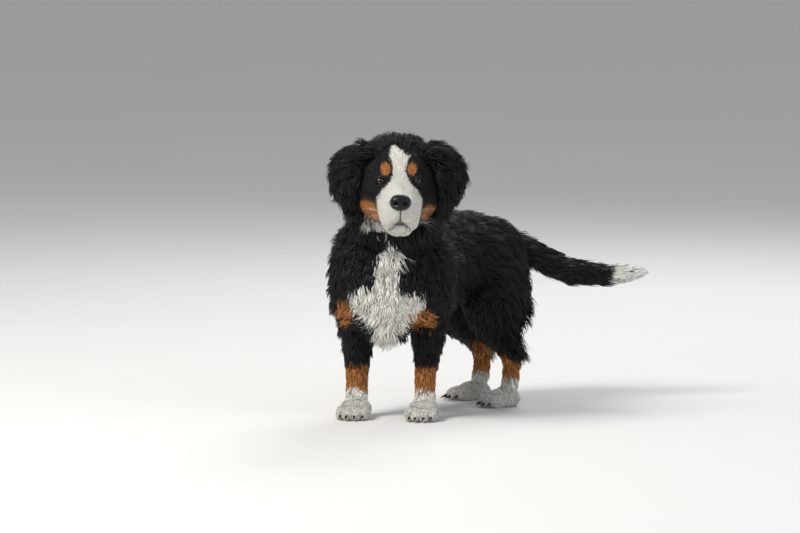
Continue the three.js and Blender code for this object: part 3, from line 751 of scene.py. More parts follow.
def box_grid(low, high):
    """A box's eight corners and twelve triangles."""
    x, y, z = np.meshgrid(*zip(low, high), indexing="ij")
    points = np.stack([x.ravel(), y.ravel(), z.ravel()], axis=1)
    quads = np.array([[0, 1, 3, 2], [4, 6, 7, 5], [0, 4, 5, 1], [2, 3, 7, 6], [0, 2, 6, 4], [1, 5, 7, 3]])
    faces = np.concatenate([quads[:, [0, 1, 2]], quads[:, [0, 2, 3]]])
    return points, outward(points - points.mean(axis=0), faces)


# Fineness of the points that carry the labels, and the cells that find the nearest of them
LABEL_GRID = (64, 60)
LABEL_CELL = (3.0, 4)
LIP_CELL = (2.0, 3)
LIP_DEPTH = 2.2
LIP_WIDTH = 2.0
LID_RIM = (EYE_RADIUS + 1.4, EYE_RADIUS + 2.6)


def near_lips(mesh, points, is_jaw):
    """A bell curve of the distance to the line where the jaw meets the upper lips, 1 on the line."""
    ends = get_array(mesh.edges, "vertices", 2, np.int32)
    ahead_of_eyes = in_head(points)[:, 1] < 0
    crossing = (is_jaw[ends[:, 0]] != is_jaw[ends[:, 1]]) & ahead_of_eyes[ends[:, 0]]
    line = points[ends[crossing]].mean(axis=1)
    nearest = Near(line, *LIP_CELL)(points)
    far = np.linalg.norm(points - line[nearest], axis=1)
    return np.where(nearest >= 0, np.exp(-((far / LIP_WIDTH) ** 2)), 0)


def near_lids_and_nose(h):
    """1 on the lids' rims, on the groove under the nose and round the nose, in the head's frame."""
    mirrored = np.abs(h) * [1, 0, 0] + h * [0, 1, 1]
    lid = falling(np.linalg.norm(mirrored - EYE, axis=1), *LID_RIM)
    groove = falling(mirrored[:, 0], 0.8, 1.8) * band(h[:, 2], -60, -38, 1) * falling(h[:, 1], -60, -52)
    nose = falling(np.linalg.norm((h - NOSE) / (NOSE_SIZE + 0.6), axis=1), 1.0, 1.06)
    return np.maximum.reduce([lid, groove, nose])


def label_skin(mesh):
    """Writes to the skin which form each vertex belongs to and where on it, and its markings."""
    grids = [form_grid(form, *LABEL_GRID) for form in FORMS.values()]
    cloud = np.concatenate([points for points, _, _, _ in grids])
    form = np.repeat(np.arange(len(grids)), [len(points) for points, _, _, _ in grids])
    along = np.concatenate([a for _, a, _, _ in grids])
    angle = np.concatenate([b for _, _, b, _ in grids])
    points = to_body(get_array(mesh.vertices, "co", 3))
    nearest = Near(cloud, *LABEL_CELL)(points)
    form = form[nearest]
    lips = near_lips(mesh, points, KINDS[form] == "jaw")
    points = points - get_array(mesh.vertex_normals, "vector", 3) * (LIP_DEPTH * lips)[:, None]
    mesh.vertices.foreach_set("co", to_scene(points).astype(np.float32).ravel())
    rim = np.maximum(lips, near_lids_and_nose(in_head(points)))
    white, rust = markings(points, form)
    values = {"form": form, "along": along[nearest], "angle": angle[nearest]}
    for name, value in {**values, "rim": rim, "white": white, "rust": rust}.items():
        set_attribute(mesh, name, value)


def unwrap(made):
    """An unwrap of the skin's own shape, cut where it turns away sharply."""
    bpy.context.view_layer.objects.active = made
    made.select_set(True)
    made.data.uv_layers.new(name="OFBake")
    bpy.ops.object.mode_set(mode="EDIT")
    bpy.ops.mesh.select_all(action="SELECT")
    bpy.ops.uv.smart_project(angle_limit=math.radians(66), island_margin=0.002)
    bpy.ops.object.mode_set(mode="OBJECT")
    made.select_set(False)


BARE_RIM = 0.45
FURTHEST_BACK = 8


class Skin:
    """The skin's arrays, read once from its mesh."""

    def __init__(self, made):
        mesh = made.data
        self.points = to_body(get_array(mesh.vertices, "co", 3))
        self.normals = get_array(mesh.vertex_normals, "vector", 3)
        self.faces = get_array(mesh.loops, "vertex_index", 1, np.int32).reshape(-1, 3)
        self.uv = get_array(mesh.uv_layers["OFBake"].uv, "vector", 2).reshape(-1, 3, 2)
        self.form = self.label(mesh, "form").astype(int)
        self.along = self.label(mesh, "along")
        self.angle = self.label(mesh, "angle")
        self.bare = self.label(mesh, "rim") > BARE_RIM
        a, b, c = (self.points[self.faces[:, k]] for k in range(3))
        self.area = np.linalg.norm(np.cross(b - a, c - a), axis=1) / 2
        self.middle = (a + b + c) / 3
        self.near = Near(self.points, *LABEL_CELL)

    def label(self, mesh, name):
        """A number of each vertex."""
        return get_array(mesh.attributes[name].data, "value", 1)

    def plant(self, chosen, count, rng):
        """Roots on the chosen triangles, spread by area: points, normals, places on the unwrap, labels."""
        weight = np.where(chosen, self.area, 0)
        steps = (np.arange(count) + rng.random(count)) / count
        face = np.searchsorted(np.cumsum(weight) / weight.sum(), steps).clip(0, len(weight) - 1)
        u, v = rng.random((2, count, 1))
        flip = u + v > 1
        u, v = np.where(flip, 1 - u, u), np.where(flip, 1 - v, v)
        corners = self.faces[face]
        mix = lambda values: values[:, 0] * (1 - u - v) + values[:, 1] * u + values[:, 2] * v
        return {
            "points": mix(self.points[corners]),
            "normals": unit(mix(self.normals[corners])),
            "uv": mix(self.uv[face]),
            "form": self.form[corners[:, 0]],
            "along": self.along[corners[:, 0]],
            "angle": self.angle[corners[:, 0]],
        }

    def walk(self, points, normals, flow, steps):
        """Stations on the skin: each step follows the flow and is set back on the nearest tangent plane."""
        stations, ups = [points], [normals]
        for step in steps:
            flow = unit(flow - normals * dots(flow, normals))
            points = points + flow * step
            nearest = self.near(points)
            found = (nearest >= 0)[:, None]
            normals = np.where(found, self.normals[nearest], normals)
            lift = dots(points - self.points[nearest], normals)
            points = points - np.where(found, normals * np.clip(lift, -FURTHEST_BACK, FURTHEST_BACK), 0)
            stations.append(points)
            ups.append(normals)
        return np.stack(stations, axis=1), np.stack(ups, axis=1)


# A tuft has three corners a ring. On the unwrap it takes a small patch, which keeps off the edges, and in
# the grain it stands apart from other tufts.
RING = 3
FLOOR_GAP = 0.3
PATCH = 0.0014
PATCH_EDGE = 0.0005
STRANDS_APART = 50
SHAPES = {
    2: {"widths": (0.85, 0.8, 0.0), "lifts": (-0.06, 0.62, 1.0)},
    3: {"widths": (0.8, 1.0, 0.7, 0.0), "lifts": (-0.05, 0.5, 0.85, 1.0)},
    4: {"widths": (0.75, 1.0, 0.9, 0.6, 0.0), "lifts": (-0.04, 0.4, 0.72, 0.92, 1.0)},
}


def tuft_faces(rows):
    """Triangles of one tuft: rings of three corners, a cap under the root and a tip."""
    faces = [[0, 2, 1]]
    for row in range(rows - 1):
        for k in range(RING):
            a, b = row * RING + k, row * RING + (k + 1) % RING
            faces += [[a, b, b + RING], [a, b + RING, a + RING]]
    base, tip = (rows - 1) * RING, rows * RING
    return np.array(faces + [[base + k, base + (k + 1) % RING, tip] for k in range(RING)])


def tuft_corners(centres, ups, width, thick):
    """Corners of a tapering prism round each line of stations: one on either side and one on top of every
    station but the last, which is the tip."""
    count, stations, _ = centres.shape
    rows = stations - 1
    tangent = np.empty_like(centres)
    tangent[:, 1:-1] = centres[:, 2:] - centres[:, :-2]
    tangent[:, 0] = centres[:, 1] - centres[:, 0]
    tangent[:, -1] = centres[:, -1] - centres[:, -2]
    tangent = unit(tangent)
    across = unit(np.cross(ups, tangent))
    up = np.cross(tangent, across)
    profile = np.array(SHAPES[rows]["widths"])[None, :, None]
    half = width[:, None, None] * profile / 2
    high = thick[:, None, None] * profile
    rings = np.stack([centres - across * half, centres + across * half, centres + up * high], axis=2)
    rings = rings[:, :rows].reshape(count, rows * RING, 3)
    points = np.concatenate([rings, centres[:, -1:]], axis=1)
    points[:, :, 2] = np.maximum(points[:, :, 2], FLOOR_GAP)
    return points


def tuft_triangles(points, rows):
    """Triangles of all tufts, turned in each tuft so that the volume they close is positive."""
    count, size, _ = points.shape
    local = tuft_faces(rows)
    corners = points - points[:, :1]
    a, b, c = (corners[:, local[:, k]] for k in range(3))
    inside_out = np.sum(a * np.cross(b, c), axis=(1, 2)) < 0
    turned = np.where(inside_out[:, None, None], local[None, :, ::-1], local[None])
    return (np.arange(count)[:, None, None] * size + turned).reshape(-1, 3)


def tuft_mesh(name, points, roots, tones, marked_at):
    """All tufts in one mesh, with their places on the skin's unwrap and in the grain, and their colours."""
    count, size, _ = points.shape
    rows = size // RING
    faces = tuft_triangles(points, rows)
    mesh = new_mesh(name, to_scene(points.reshape(-1, 3)), faces)
    turn = np.arange(size) * TAU / size
    patch = PATCH * np.stack([np.cos(turn), np.sin(turn)], axis=1)
    bake = np.clip(roots["uv"][:, None] + patch[None], PATCH_EDGE, 1 - PATCH_EDGE)
    share = np.append(np.repeat(np.arange(rows) / rows, RING), 1.0)
    aside = np.append(np.tile([0.0, 1.0, 0.5], rows), 0.5)
    apart = aside[None] + tones[:, None] * STRANDS_APART
    strand = np.stack([apart, np.broadcast_to(share, (count, size))], axis=2)
    for layer, values in (("OFBake", bake), ("Strand", strand)):
        corners = values.reshape(-1, 2)[faces.ravel()]
        mesh.uv_layers.new(name=layer).uv.foreach_set("vector", corners.astype(np.float32).ravel())
    set_attribute(mesh, "share", np.tile(share, count))
    white, rust = markings(marked_at, roots["form"])
    for label, values in (("tone", tones), ("white", white), ("rust", rust)):
        set_attribute(mesh, label, np.repeat(values, size))
    return mesh


# How much tufts differ from one another, and how a clump's pull and a wave's swing rise to the tip
VARY_LENGTH = (0.75, 1.2)
VARY_DEPTH = (0.35, 1.0)
VARY_WIDTH = (0.7, 1.3)
CLUMP_REACH = 4
CLUMP_POWER = 1.3
CLUMP_TURN = 1.7
WAVE_POWER = 0.7


def clumped(centres, roots, style, rng):
    """Stations drawn to those of a guide tuft nearby by a power of the way out, and each guide's number."""
    count, stations, _ = centres.shape
    guides = rng.choice(count, max(count // style["clump_of"], 1), replace=False)
    nearest = Near(roots["points"][guides], style["clump_cell"], CLUMP_REACH)(roots["points"])
    share = np.linspace(0, 1, stations)
    pull = style["clump"] * share**CLUMP_POWER * np.where(nearest >= 0, 1, 0)[:, None]
    guide = centres[guides[nearest]]
    return centres + (guide - centres) * pull[:, :, None], np.where(nearest >= 0, guides[nearest], 0)


def waved(centres, ups, length, look, start):
    """Stations swung aside by a sine and up by a cosine of the way along, more and more towards the tip."""
    share = np.linspace(0, 1, centres.shape[1])
    phase = TAU * share[None] * (length / look["wave_length"])[:, None] + start[:, None]
    tangent = unit(np.roll(centres, -1, axis=1) - centres)
    tangent[:, -1] = tangent[:, -2]
    across = unit(np.cross(ups, tangent))
    swing = look["wave"][:, None] * share[None] ** WAVE_POWER
    centres = centres + across * (swing * np.sin(phase))[:, :, None]
    return centres + ups * (0.5 * swing * np.cos(phase))[:, :, None]


def make_piece(name, mesh, material):
    """An object of one material that rides on the body."""
    made = new_object(name, mesh)
    made.data.materials.append(material)
    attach(made, "root")
    return made


def grow(skin, name, chosen, style, settings):
    """Tufts of one style on the chosen triangles: planted, walked along the lie, lifted, clumped, waved."""
    rng = np.random.default_rng(settings.seed + sum(map(ord, name)))
    count = int(style["count"] * settings.amount)
    roots = skin.plant(chosen, count, rng)
    look = {"free": 0.0, **style["look"](roots)}
    shapes = {key: (count, 3) if key == "flow" else (count,) for key in look}
    look = {key: np.broadcast_to(value, shapes[key]) for key, value in look.items()}
    rows = style["rows"]
    length = look["length"] * rng.uniform(*VARY_LENGTH, count) * settings.length
    depth = look["depth"] * rng.uniform(*VARY_DEPTH, count) * settings.length
    flow = unit(look["flow"] + rng.normal(0, style["stray"], (count, 3)))
    steps = [(length / rows)[:, None]] * rows
    stations, ups = skin.walk(roots["points"], roots["normals"], flow, steps)
    reach = np.linspace(0, 1, rows + 1)[None, :, None] * length[:, None, None]
    straight = roots["points"][:, None] + flow[:, None] * reach
    stations = stations + (straight - stations) * look["free"][:, None, None]
    lifts = depth[:, None] * np.array(SHAPES[rows]["lifts"])
    centres, clump = clumped(stations + ups * lifts[:, :, None], roots, style, rng)
    centres = waved(centres, ups, length, look, clump * CLUMP_TURN)
    centres = style["shape"](centres, rng) if "shape" in style else centres
    width = look["width"] * rng.uniform(*VARY_WIDTH, count)
    tones = rng.random(count)
    settled = centres[:, -2] - ups[:, -2] * lifts[:, -2:-1] * style["settle"]
    marked_at = settled + rng.normal(0, style["blend"], (count, 3))
    corners = tuft_corners(centres, ups, width, width * style["thick"])
    return make_piece(name, tuft_mesh(name, corners, roots, tones, marked_at), coat_material())


def head_directions(d):
    """Directions of the head's frame in the body's."""
    return d @ HEAD_TURN.T


# The looks of the coat by region: the hair's flow, and its length, depth over the skin, width, wave and
# wave length in millimetres; free is the share by which it leaves the surface and goes straight on.
def face_look(roots):
    """Short hair that runs from the nose back over the muzzle, up the forehead and down the cheeks."""
    x, y, z = in_head(roots["points"]).T
    back = smoothstep(y, -40, 24)
    up = np.clip((z + 20) / 40, -1, 1)
    low = smoothstep(-z, 50, 80)
    aside = 0.012 * x + 0.2 * np.sign(x) * (1 - up)
    flow = np.stack([aside, 0.6 + 0.4 * back, 0.9 * up - 0.15 - 0.8 * low], axis=1)
    chin = smoothstep(-z, 70, 82) * falling(y, -20, 10)
    from_eye = (np.abs(x) - EYE[0]) ** 2 + (z - EYE[2]) ** 2 + (y - EYE[1]) ** 2
    near_eye = np.exp(-from_eye / 18**2)
    return {
        "flow": head_directions(flow),
        "length": (4.5 + 7.5 * back + 3 * low + 2.5 * chin) * (1 - 0.45 * near_eye),
        "depth": (0.9 + 3.6 * back + 1.2 * low + 1.0 * chin) * (1 - 0.6 * near_eye),
        "width": 0.9 + 0.7 * back,
        "wave": 0.15 + 0.5 * chin,
        "wave_length": 12.0,
        "free": 0.35 * chin,
    }


def head_look(roots):
    """Fluffy hair of the crown, cheeks and throat, which runs back and falls down the sides."""
    x, y, z = in_head(roots["points"]).T
    back = smoothstep(y, 14, 48)
    side = np.clip(np.abs(x) / 60, 0, 1)
    low = smoothstep(-z, -10, 50)
    top = smoothstep(z, 10, 50)
    aside = np.sign(x) * (0.7 * side + 0.25 * top)
    flow = np.stack([aside, 0.9 - 0.45 * low - 0.35 * top, 0.55 * top - 1.1 * low - 0.35 * side], axis=1)
    return {
        "flow": head_directions(flow),
        "length": 11 + 15 * back + 6 * low + 4 * top,
        "depth": 4 + 8 * back + 2 * low + (9 + 6 * smoothstep(np.abs(x), 24, 46)) * top * back,
        "width": 1.4 + 0.8 * back,
        "wave": 0.6 + 1.4 * back,
        "wave_length": 28.0,
        "free": 0.3 * top,
    }


def ear_look(roots):
    """Long waved hair that stands off the top of the ear and hangs down past its edge."""
    x, _, z = in_head(roots["points"]).T
    low = smoothstep(-z, -46, 30)
    out = smoothstep(z, -30, 40)
    peak = np.exp(-(((np.abs(x) - 46) / 10) ** 2)) * smoothstep(z, 30, 48)
    aside = np.sign(x) * (0.9 * out - 0.12)
    flow = np.stack([aside, np.full(len(x), 0.1), 0.45 * out - 1 + 0.6 * peak], axis=1)
    return {
        "flow": head_directions(flow),
        "length": 25 + 8 * low,
        "depth": 15 - 7 * low + 6 * peak,
        "width": 2.1,
        "wave": 1.8 + 1.2 * low,
        "wave_length": 30.0,
        "free": 0.3 + 0.4 * low,
    }


def neck_look(roots):
    """The ruff: full, falling back on the nape and down at the throat."""
    s = straighten(roots["points"])
    front = falling(s[:, 1], -70, 10)
    flow = np.stack([0.004 * s[:, 0], 0.75 - 0.75 * front, -0.8 - 0.2 * front], axis=1)
    return {
        "flow": turned_with_spine(roots["points"], flow),
        "length": 40.0,
        "depth": 24 + 9 * np.clip(np.abs(s[:, 0]) / 60, 0, 1),
        "width": 2.7,
        "wave": 1.8 + 1.2 * front,
        "wave_length": 36.0,
    }


def torso_look(roots):
    """Long coat: back and down the flanks, spreading and curling on the chest, full on the breeches."""
    s, seen = straighten(roots["points"]), in_view(roots["points"])
    x, y, z = s.T
    front = falling(y, -40, 10)
    rear = smoothstep(y, 250, 320)
    high = smoothstep(z, 250, 340)
    low = falling(z, 150, 235)
    spread = np.clip((seen[:, 0] + 6) / 45, -1, 1) * falling(z, 200, 245)
    fringe = front * np.exp(-(((seen[:, 0] + 10) / 30) ** 2)) * falling(z, 178, 215)
    flank = np.stack([0.004 * x, np.ones_like(x), 0.65 * high - 0.75], axis=1)
    chest = np.stack([0.004 * x + 0.9 * spread, np.full_like(x, 0.05), -np.ones_like(x)], axis=1)
    rump = np.stack([0.004 * x, np.full_like(x, 0.45), -np.ones_like(x)], axis=1)
    flow = flank * (1 - front - rear)[:, None] + chest * front[:, None] + rump * rear[:, None]
    breech = rear * band(z, 110, 240, 25)
    middle = front * np.exp(-((seen[:, 0] / 75) ** 4))
    side = np.clip(np.abs(x) / 50 - 0.6, 0, 1) * falling(y, 20, 120) * smoothstep(z, 170, 200)
    depth = 23 - 2 * high + 6 * high * rear + 3 * low * front + 7 * side
    return {
        "flow": turned_with_spine(roots["points"], flow),
        "length": 44 - 8 * high - 4 * front - 13 * middle + 26 * fringe + 18 * breech,
        "depth": depth - 5 * middle + 4 * fringe + 3 * breech,
        "width": 2.7 + 0.5 * middle,
        "wave": 1.6 + 0.8 * front + 0.9 * middle,
        "wave_length": 40 - 15 * front,
        "free": 0.5 * breech + 0.75 * fringe,
    }


def leg_look(roots):
    """Short hair down the front of a leg, longer feathering behind it, outside it and at its top."""
    x, y, z = straighten(roots["points"]).T
    high = smoothstep(z, 60, 190)
    behind = np.clip(np.sin(roots["angle"]), 0, 1)
    breech = smoothstep(y, 250, 290) * behind * band(z, 95, 240, 20)
    outside = np.clip(np.cos(roots["angle"]) * np.sign(x), 0, 1) * high
    back = 0.1 + 0.3 * behind + 0.4 * breech
    flow = np.stack([0.2 * np.sign(x) * outside, back, -np.ones_like(x)], axis=1)
    return {
        "flow": turned_with_spine(roots["points"], flow),
        "length": 13 + 21 * high + 9 * behind * (0.4 + high) + 16 * breech,
        "depth": 3.5 + 13 * high + 5 * behind * high + 5 * outside + 16 * breech,
        "width": 1.5 + 1.3 * high,
        "wave": 0.4 + 1.2 * high,
        "wave_length": 32.0,
        "free": 0.5 * breech,
    }


def paw_look(roots):
    """Short smooth hair that runs forward and down over the toes."""
    flow = np.tile([0.0, -0.7, -0.6], (len(roots["points"]), 1))
    return {
        "flow": turned_with_spine(roots["points"], flow),
        "length": 8.0,
        "depth": 2.6,
        "width": 1.4,
        "wave": 0.2,
        "wave_length": 14.0,
    }


TAIL_END = 47.0
DROP_RADIUS = 21.0
DROP_LENGTH = 56.0


def tail_look(roots):
    """Long hair along the tail, fullest underneath; past the bone it stands free."""
    s = straighten(roots["points"])
    under = np.clip(-np.sin(roots["angle"]), 0, 1)
    end = smoothstep(tail_share(s), 0.8, 0.98)
    root = 5 * falling(tail_share(s), 0.05, 0.3) * (1 - under)
    flow = TAIL_AXIS + np.array([0, 0, -0.22]) * (1 - end)[:, None]
    return {
        "flow": turned_with_spine(roots["points"], flow),
        "length": 36 + 8 * under + 10 * end,
        "depth": 13 + 7 * under * (1 - end) + root,
        "width": 2.6,
        "wave": 0.6,
        "wave_length": 40.0,
        "free": end,
    }


def drop_shaped(centres, rng):
    """Strands drawn in to a drop at the tail's end: radius R (1 - (1 - d / L)^2.2), d away from its tip."""
    s = straighten(centres.reshape(-1, 3))
    end = TAIL_BONE + TAIL_END
    along = (s - TAIL_ROOT) @ TAIL_AXIS
    height = [0, 0, TAIL_ROWS[-1][3] - TAIL_ROOT[2]]
    radial = s - (TAIL_ROOT + TAIL_AXIS * along[:, None] + height)
    limit = DROP_RADIUS * (1 - np.clip(1 - (end - along) / DROP_LENGTH, 0, 1) ** 2.2)
    limit = limit * np.repeat(rng.uniform(0.75, 1.05, len(centres)), centres.shape[1])
    inward = np.minimum(1, limit / np.maximum(np.linalg.norm(radial, axis=1), 0.1))
    s = TAIL_ROOT + TAIL_AXIS * np.minimum(along, end)[:, None] + height + radial * inward[:, None]
    return bend(s).reshape(centres.shape)


LONG = {
    "rows": 3,
    "thick": 0.3,
    "stray": 0.2,
    "clump_of": 14,
    "clump_cell": 5.5,
    "clump": 0.68,
    "blend": 2.6,
    "settle": 0.0,
}
CURLY = {**LONG, "rows": 4, "clump_of": 10}
SHORT = {
    "rows": 2,
    "thick": 0.3,
    "stray": 0.1,
    "clump_of": 8,
    "clump_cell": 2.0,
    "clump": 0.25,
    "blend": 1.0,
    "settle": 1.0,
}
DROP = {**LONG, "stray": 0.1, "clump": 0.4, "shape": drop_shaped}
STYLES = {
    "coat_face": {**SHORT, "count": 16000, "look": face_look},
    "coat_head": {**LONG, "count": 9000, "clump_cell": 3.5, "stray": 0.25, "settle": 1.0, "look": head_look},
    "coat_ears": {**LONG, "count": 6500, "stray": 0.28, "clump": 0.75, "clump_cell": 7.0, "look": ear_look},
    "coat_neck": {**LONG, "count": 8000, "look": neck_look},
    "coat_chest": {**CURLY, "count": 8800, "look": torso_look},
    "coat_flank_left": {**LONG, "count": 8500, "look": torso_look},
    "coat_flank_right": {**LONG, "count": 8500, "look": torso_look},
    "coat_rump": {**LONG, "count": 7000, "look": torso_look},
    "coat_forelegs": {**LONG, "count": 8000, "clump_cell": 4.0, "look": leg_look},
    "coat_hindlegs": {**LONG, "count": 8500, "clump_cell": 4.0, "look": leg_look},
    "coat_paws": {**SHORT, "count": 8500, "look": paw_look},
    "coat_tail": {**LONG, "count": 4000, "look": tail_look},
    "coat_tail_tip": {**DROP, "count": 3200, "look": tail_look},
}


# Where one piece of the coat gives way to the next, in millimetres of the straight body, and on the head how
# far behind the eyes the short hair reaches, with a tongue of it along the blaze
SOLE_TOP = 5
FORELEG_TOP = 205
HINDLEG_TOP = 215
CHEST_UNTIL = 0
RUMP_FROM = 250
FACE_UNTIL = 22
BLAZE_TONGUE = {"reach": 8, "middle": -6, "width": 13}
TIP_HAIR_FROM = TAIL_WHITE + 0.11


def region_of(skin):
    """The name of the coat piece that each of the skin's triangles carries, by its form and its place."""
    kind = KINDS[skin.form[skin.faces[:, 0]]]
    x, y, z = straighten(skin.middle).T
    aside, behind, above = in_head(skin.middle).T
    on_skull = np.isin(kind, ["skull", "jaw", "lid"])
    tongue = np.exp(-(((aside - BLAZE_TONGUE["middle"]) / BLAZE_TONGUE["width"]) ** 2))
    rules = [
        (skin.bare[skin.faces].sum(axis=1) > 1, "bare"),
        ((skin.middle[:, 2] < SOLE_TOP) & (skin.normals[skin.faces[:, 0], 2] < -0.4), "bare"),
        (kind == "ear", "coat_ears"),
        (on_skull & (behind < FACE_UNTIL + 0.1 * above + BLAZE_TONGUE["reach"] * tongue), "coat_face"),
        (on_skull, "coat_head"),
        (kind == "neck", "coat_neck"),
        ((kind == "tail") & (tail_share(np.stack([x, y, z], axis=1)) > TIP_HAIR_FROM), "coat_tail_tip"),
        (kind == "tail", "coat_tail"),
        (np.isin(kind, ["pad", "toe"]), "coat_paws"),
        ((kind == "fore") & (z < FORELEG_TOP), "coat_forelegs"),
        (np.isin(kind, ["hind", "metatarsus"]) & (z < HINDLEG_TOP), "coat_hindlegs"),
        (y < CHEST_UNTIL, "coat_chest"),
        (y > RUMP_FROM, "coat_rump"),
        (x > 0, "coat_flank_left"),
    ]
    return np.select([rule for rule, _ in rules], [name for _, name in rules], "coat_flank_right")


# Materials


class Nodes:
    """A short way to write a material's nodes: values or outputs go in by socket name."""

    def __init__(self, name):
        self.material = bpy.data.materials.new(name)
        self.material.use_nodes = True
        self.tree = self.material.node_tree
        self.shader = self.tree.nodes["Principled BSDF"]

    def feed(self, socket, value):
        """Links an output to an input socket, or sets the socket's number or colour."""
        if isinstance(value, bpy.types.NodeSocket):
            self.tree.links.new(value, socket)
        else:
            socket.default_value = value

    def feed_named(self, node, inputs):
        """Feeds sockets named with spaces as underscores."""
        for key, value in inputs.items():
            self.feed(node.inputs[key.replace("_", " ")], value)

    def add(self, kind, settings=None, **inputs):
        """A node of a kind, its settings and its inputs; returns the node."""
        node = self.tree.nodes.new(kind)
        for key, value in (settings or {}).items():
            setattr(node, key, value)
        self.feed_named(node, inputs)
        return node

    def shade(self, **inputs):
        """Sets the shader's sockets and gives the material."""
        self.feed_named(self.shader, inputs)
        return self.material

    def attribute(self, name):
        """A number stored on the mesh."""
        return self.add("ShaderNodeAttribute", {"attribute_name": name}).outputs["Fac"]

    def place(self):
        """The place on the object in metres."""
        return self.add("ShaderNodeTexCoord").outputs["Object"]

    def stretched(self, place, scale):
        """A place scaled differently along its three axes."""
        return self.add("ShaderNodeMapping", Vector=place, Scale=scale).outputs["Vector"]

    def noise(self, place, scale, detail):
        """Cloudy noise by the place."""
        return self.add("ShaderNodeTexNoise", Vector=place, Scale=scale, Detail=detail).outputs["Fac"]

    def bump(self, height, strength, distance):
        """Normals of a surface that rises by a height times a distance in metres."""
        node = self.add("ShaderNodeBump", Height=height, Strength=strength, Distance=distance)
        return node.outputs["Normal"]

    def times(self, a, b):
        """The product of two numbers."""
        node = self.add("ShaderNodeMath", {"operation": "MULTIPLY"})
        self.feed(node.inputs[0], a)
        self.feed(node.inputs[1], b)
        return node.outputs[0]

    def mix(self, factor, a, b, blend="MIX"):
        """Two colours mixed."""
        node = self.add("ShaderNodeMix", {"data_type": "RGBA", "blend_type": blend})
        for number, value in ((0, factor), (6, a), (7, b)):
            self.feed(node.inputs[number], value)
        return node.outputs[2]

    def scaled(self, value, low, high, to_low, to_high):
        """A number mapped from one range to another."""
        ends = {"From_Min": low, "From_Max": high, "To_Min": to_low, "To_Max": to_high}
        return self.add("ShaderNodeMapRange", Value=value, **ends).outputs["Result"]


def rgba(colour, factor=1.0):
    """A colour times a factor, with full opacity."""
    return (*(v * factor for v in colour), 1.0)


WHITE_LIGHT = (1.0, 1.0, 1.0, 1.0)
DARK_RIM = (0.006, 0.004, 0.004, 1.0)
LEATHER = ((0.002, 0.002, 0.0022, 1.0), (0.008, 0.0075, 0.008, 1.0))
HORN = ((0.015, 0.012, 0.01, 1.0), (0.07, 0.055, 0.045, 1.0))
WHISKER = ((0.25, 0.22, 0.2, 1.0), (0.75, 0.72, 0.68, 1.0))
PUPIL = (0.003, 0.002, 0.002, 1.0)
IRIS = ((0.014, 0.007, 0.004, 1.0), (0.06, 0.032, 0.018, 1.0))
IRIS_EDGE = (0.008, 0.004, 0.003, 1.0)
EYE_WHITE = (0.22, 0.17, 0.15, 1.0)

# Where the eye's colours change, as angles from the line of sight
IRIS_FROM = (0.30, 0.34)
IRIS_EDGE_FROM = (0.60, 0.74)
EYE_WHITE_FROM = (0.86, 0.95)


def coat_material():
    """Hair: black, rust or white by the markings, streaked along each tuft, with painted shade that darkens
    each tuft towards its root.
    """
    if "coat" in bpy.data.materials:
        return bpy.data.materials["coat"]
    coat = bpy.context.scene.puppy_coat
    nodes = Nodes("coat")
    strand = nodes.add("ShaderNodeUVMap", {"uv_map": "Strand"}).outputs["UV"]
    streaks = nodes.noise(nodes.stretched(strand, (9.0, 0.8, 1.0)), 1.0, 2.0)
    dark = nodes.scaled(nodes.attribute("tone"), 0.0, 0.35, 0.45, 1.0)
    rust = nodes.times(nodes.attribute("rust"), dark)
    colour = nodes.mix(rust, rgba(coat.black), rgba(coat.rust))
    colour = nodes.mix(nodes.attribute("white"), colour, rgba(coat.white))
    tone = nodes.scaled(nodes.attribute("tone"), 0.0, 1.0, 0.72, 1.25)
    # Painted shade between the hairs: each tuft turns darker towards its root.
    root = nodes.scaled(nodes.attribute("share"), 0.0, 0.5, 0.6, 1.0)
    streak = nodes.scaled(streaks, 0.3, 0.7, 0.7, 1.25)
    light = nodes.times(nodes.times(tone, root), streak)
    tone_streak_and_root_shade = nodes.add("ShaderNodeCombineColor", Red=light, Green=light, Blue=light).outputs[0]
    # White hair keeps only half of the random tone, the streaks and the painted root shade.
    tone_streak_and_root_shade = nodes.mix(nodes.scaled(nodes.attribute("white"), 0.0, 1.0, 0.0, 0.5), tone_streak_and_root_shade, WHITE_LIGHT)
    colour = nodes.mix(1.0, colour, tone_streak_and_root_shade, "MULTIPLY")
    bump = nodes.bump(streaks, 0.5, 0.0006)
    return nodes.shade(Base_Color=colour, Roughness=0.5, Normal=bump, Specular_IOR_Level=0.35)


def skin_material():
    """The skin under the coat: the markings' colours, darker, with dark rims at the lids and lips."""
    coat = bpy.context.scene.puppy_coat
    nodes = Nodes("skin")
    grain = nodes.noise(nodes.place(), 900.0, 3.0)
    colour = nodes.mix(nodes.attribute("rust"), rgba(coat.black), rgba(coat.rust, 0.6))
    colour = nodes.mix(nodes.attribute("white"), colour, rgba(coat.white, 0.75))
    colour = nodes.mix(nodes.attribute("rim"), colour, DARK_RIM)
    return nodes.shade(Base_Color=colour, Roughness=0.6, Normal=nodes.bump(grain, 0.4, 0.0005))


def nose_material():
    """Black pebbled leather, moist."""
    nodes = Nodes("nose_leather")
    place = nodes.place()
    pebbles = nodes.add("ShaderNodeTexVoronoi", Vector=place, Scale=900.0).outputs["Distance"]
    dirt = nodes.noise(place, 160.0, 3.0)
    colour = nodes.mix(dirt, *LEATHER)
    rough = nodes.scaled(dirt, 0.3, 0.7, 0.22, 0.42)
    bump = nodes.bump(pebbles, 0.5, 0.0004)
    return nodes.shade(Base_Color=colour, Roughness=rough, Normal=bump, Specular_IOR_Level=0.3)


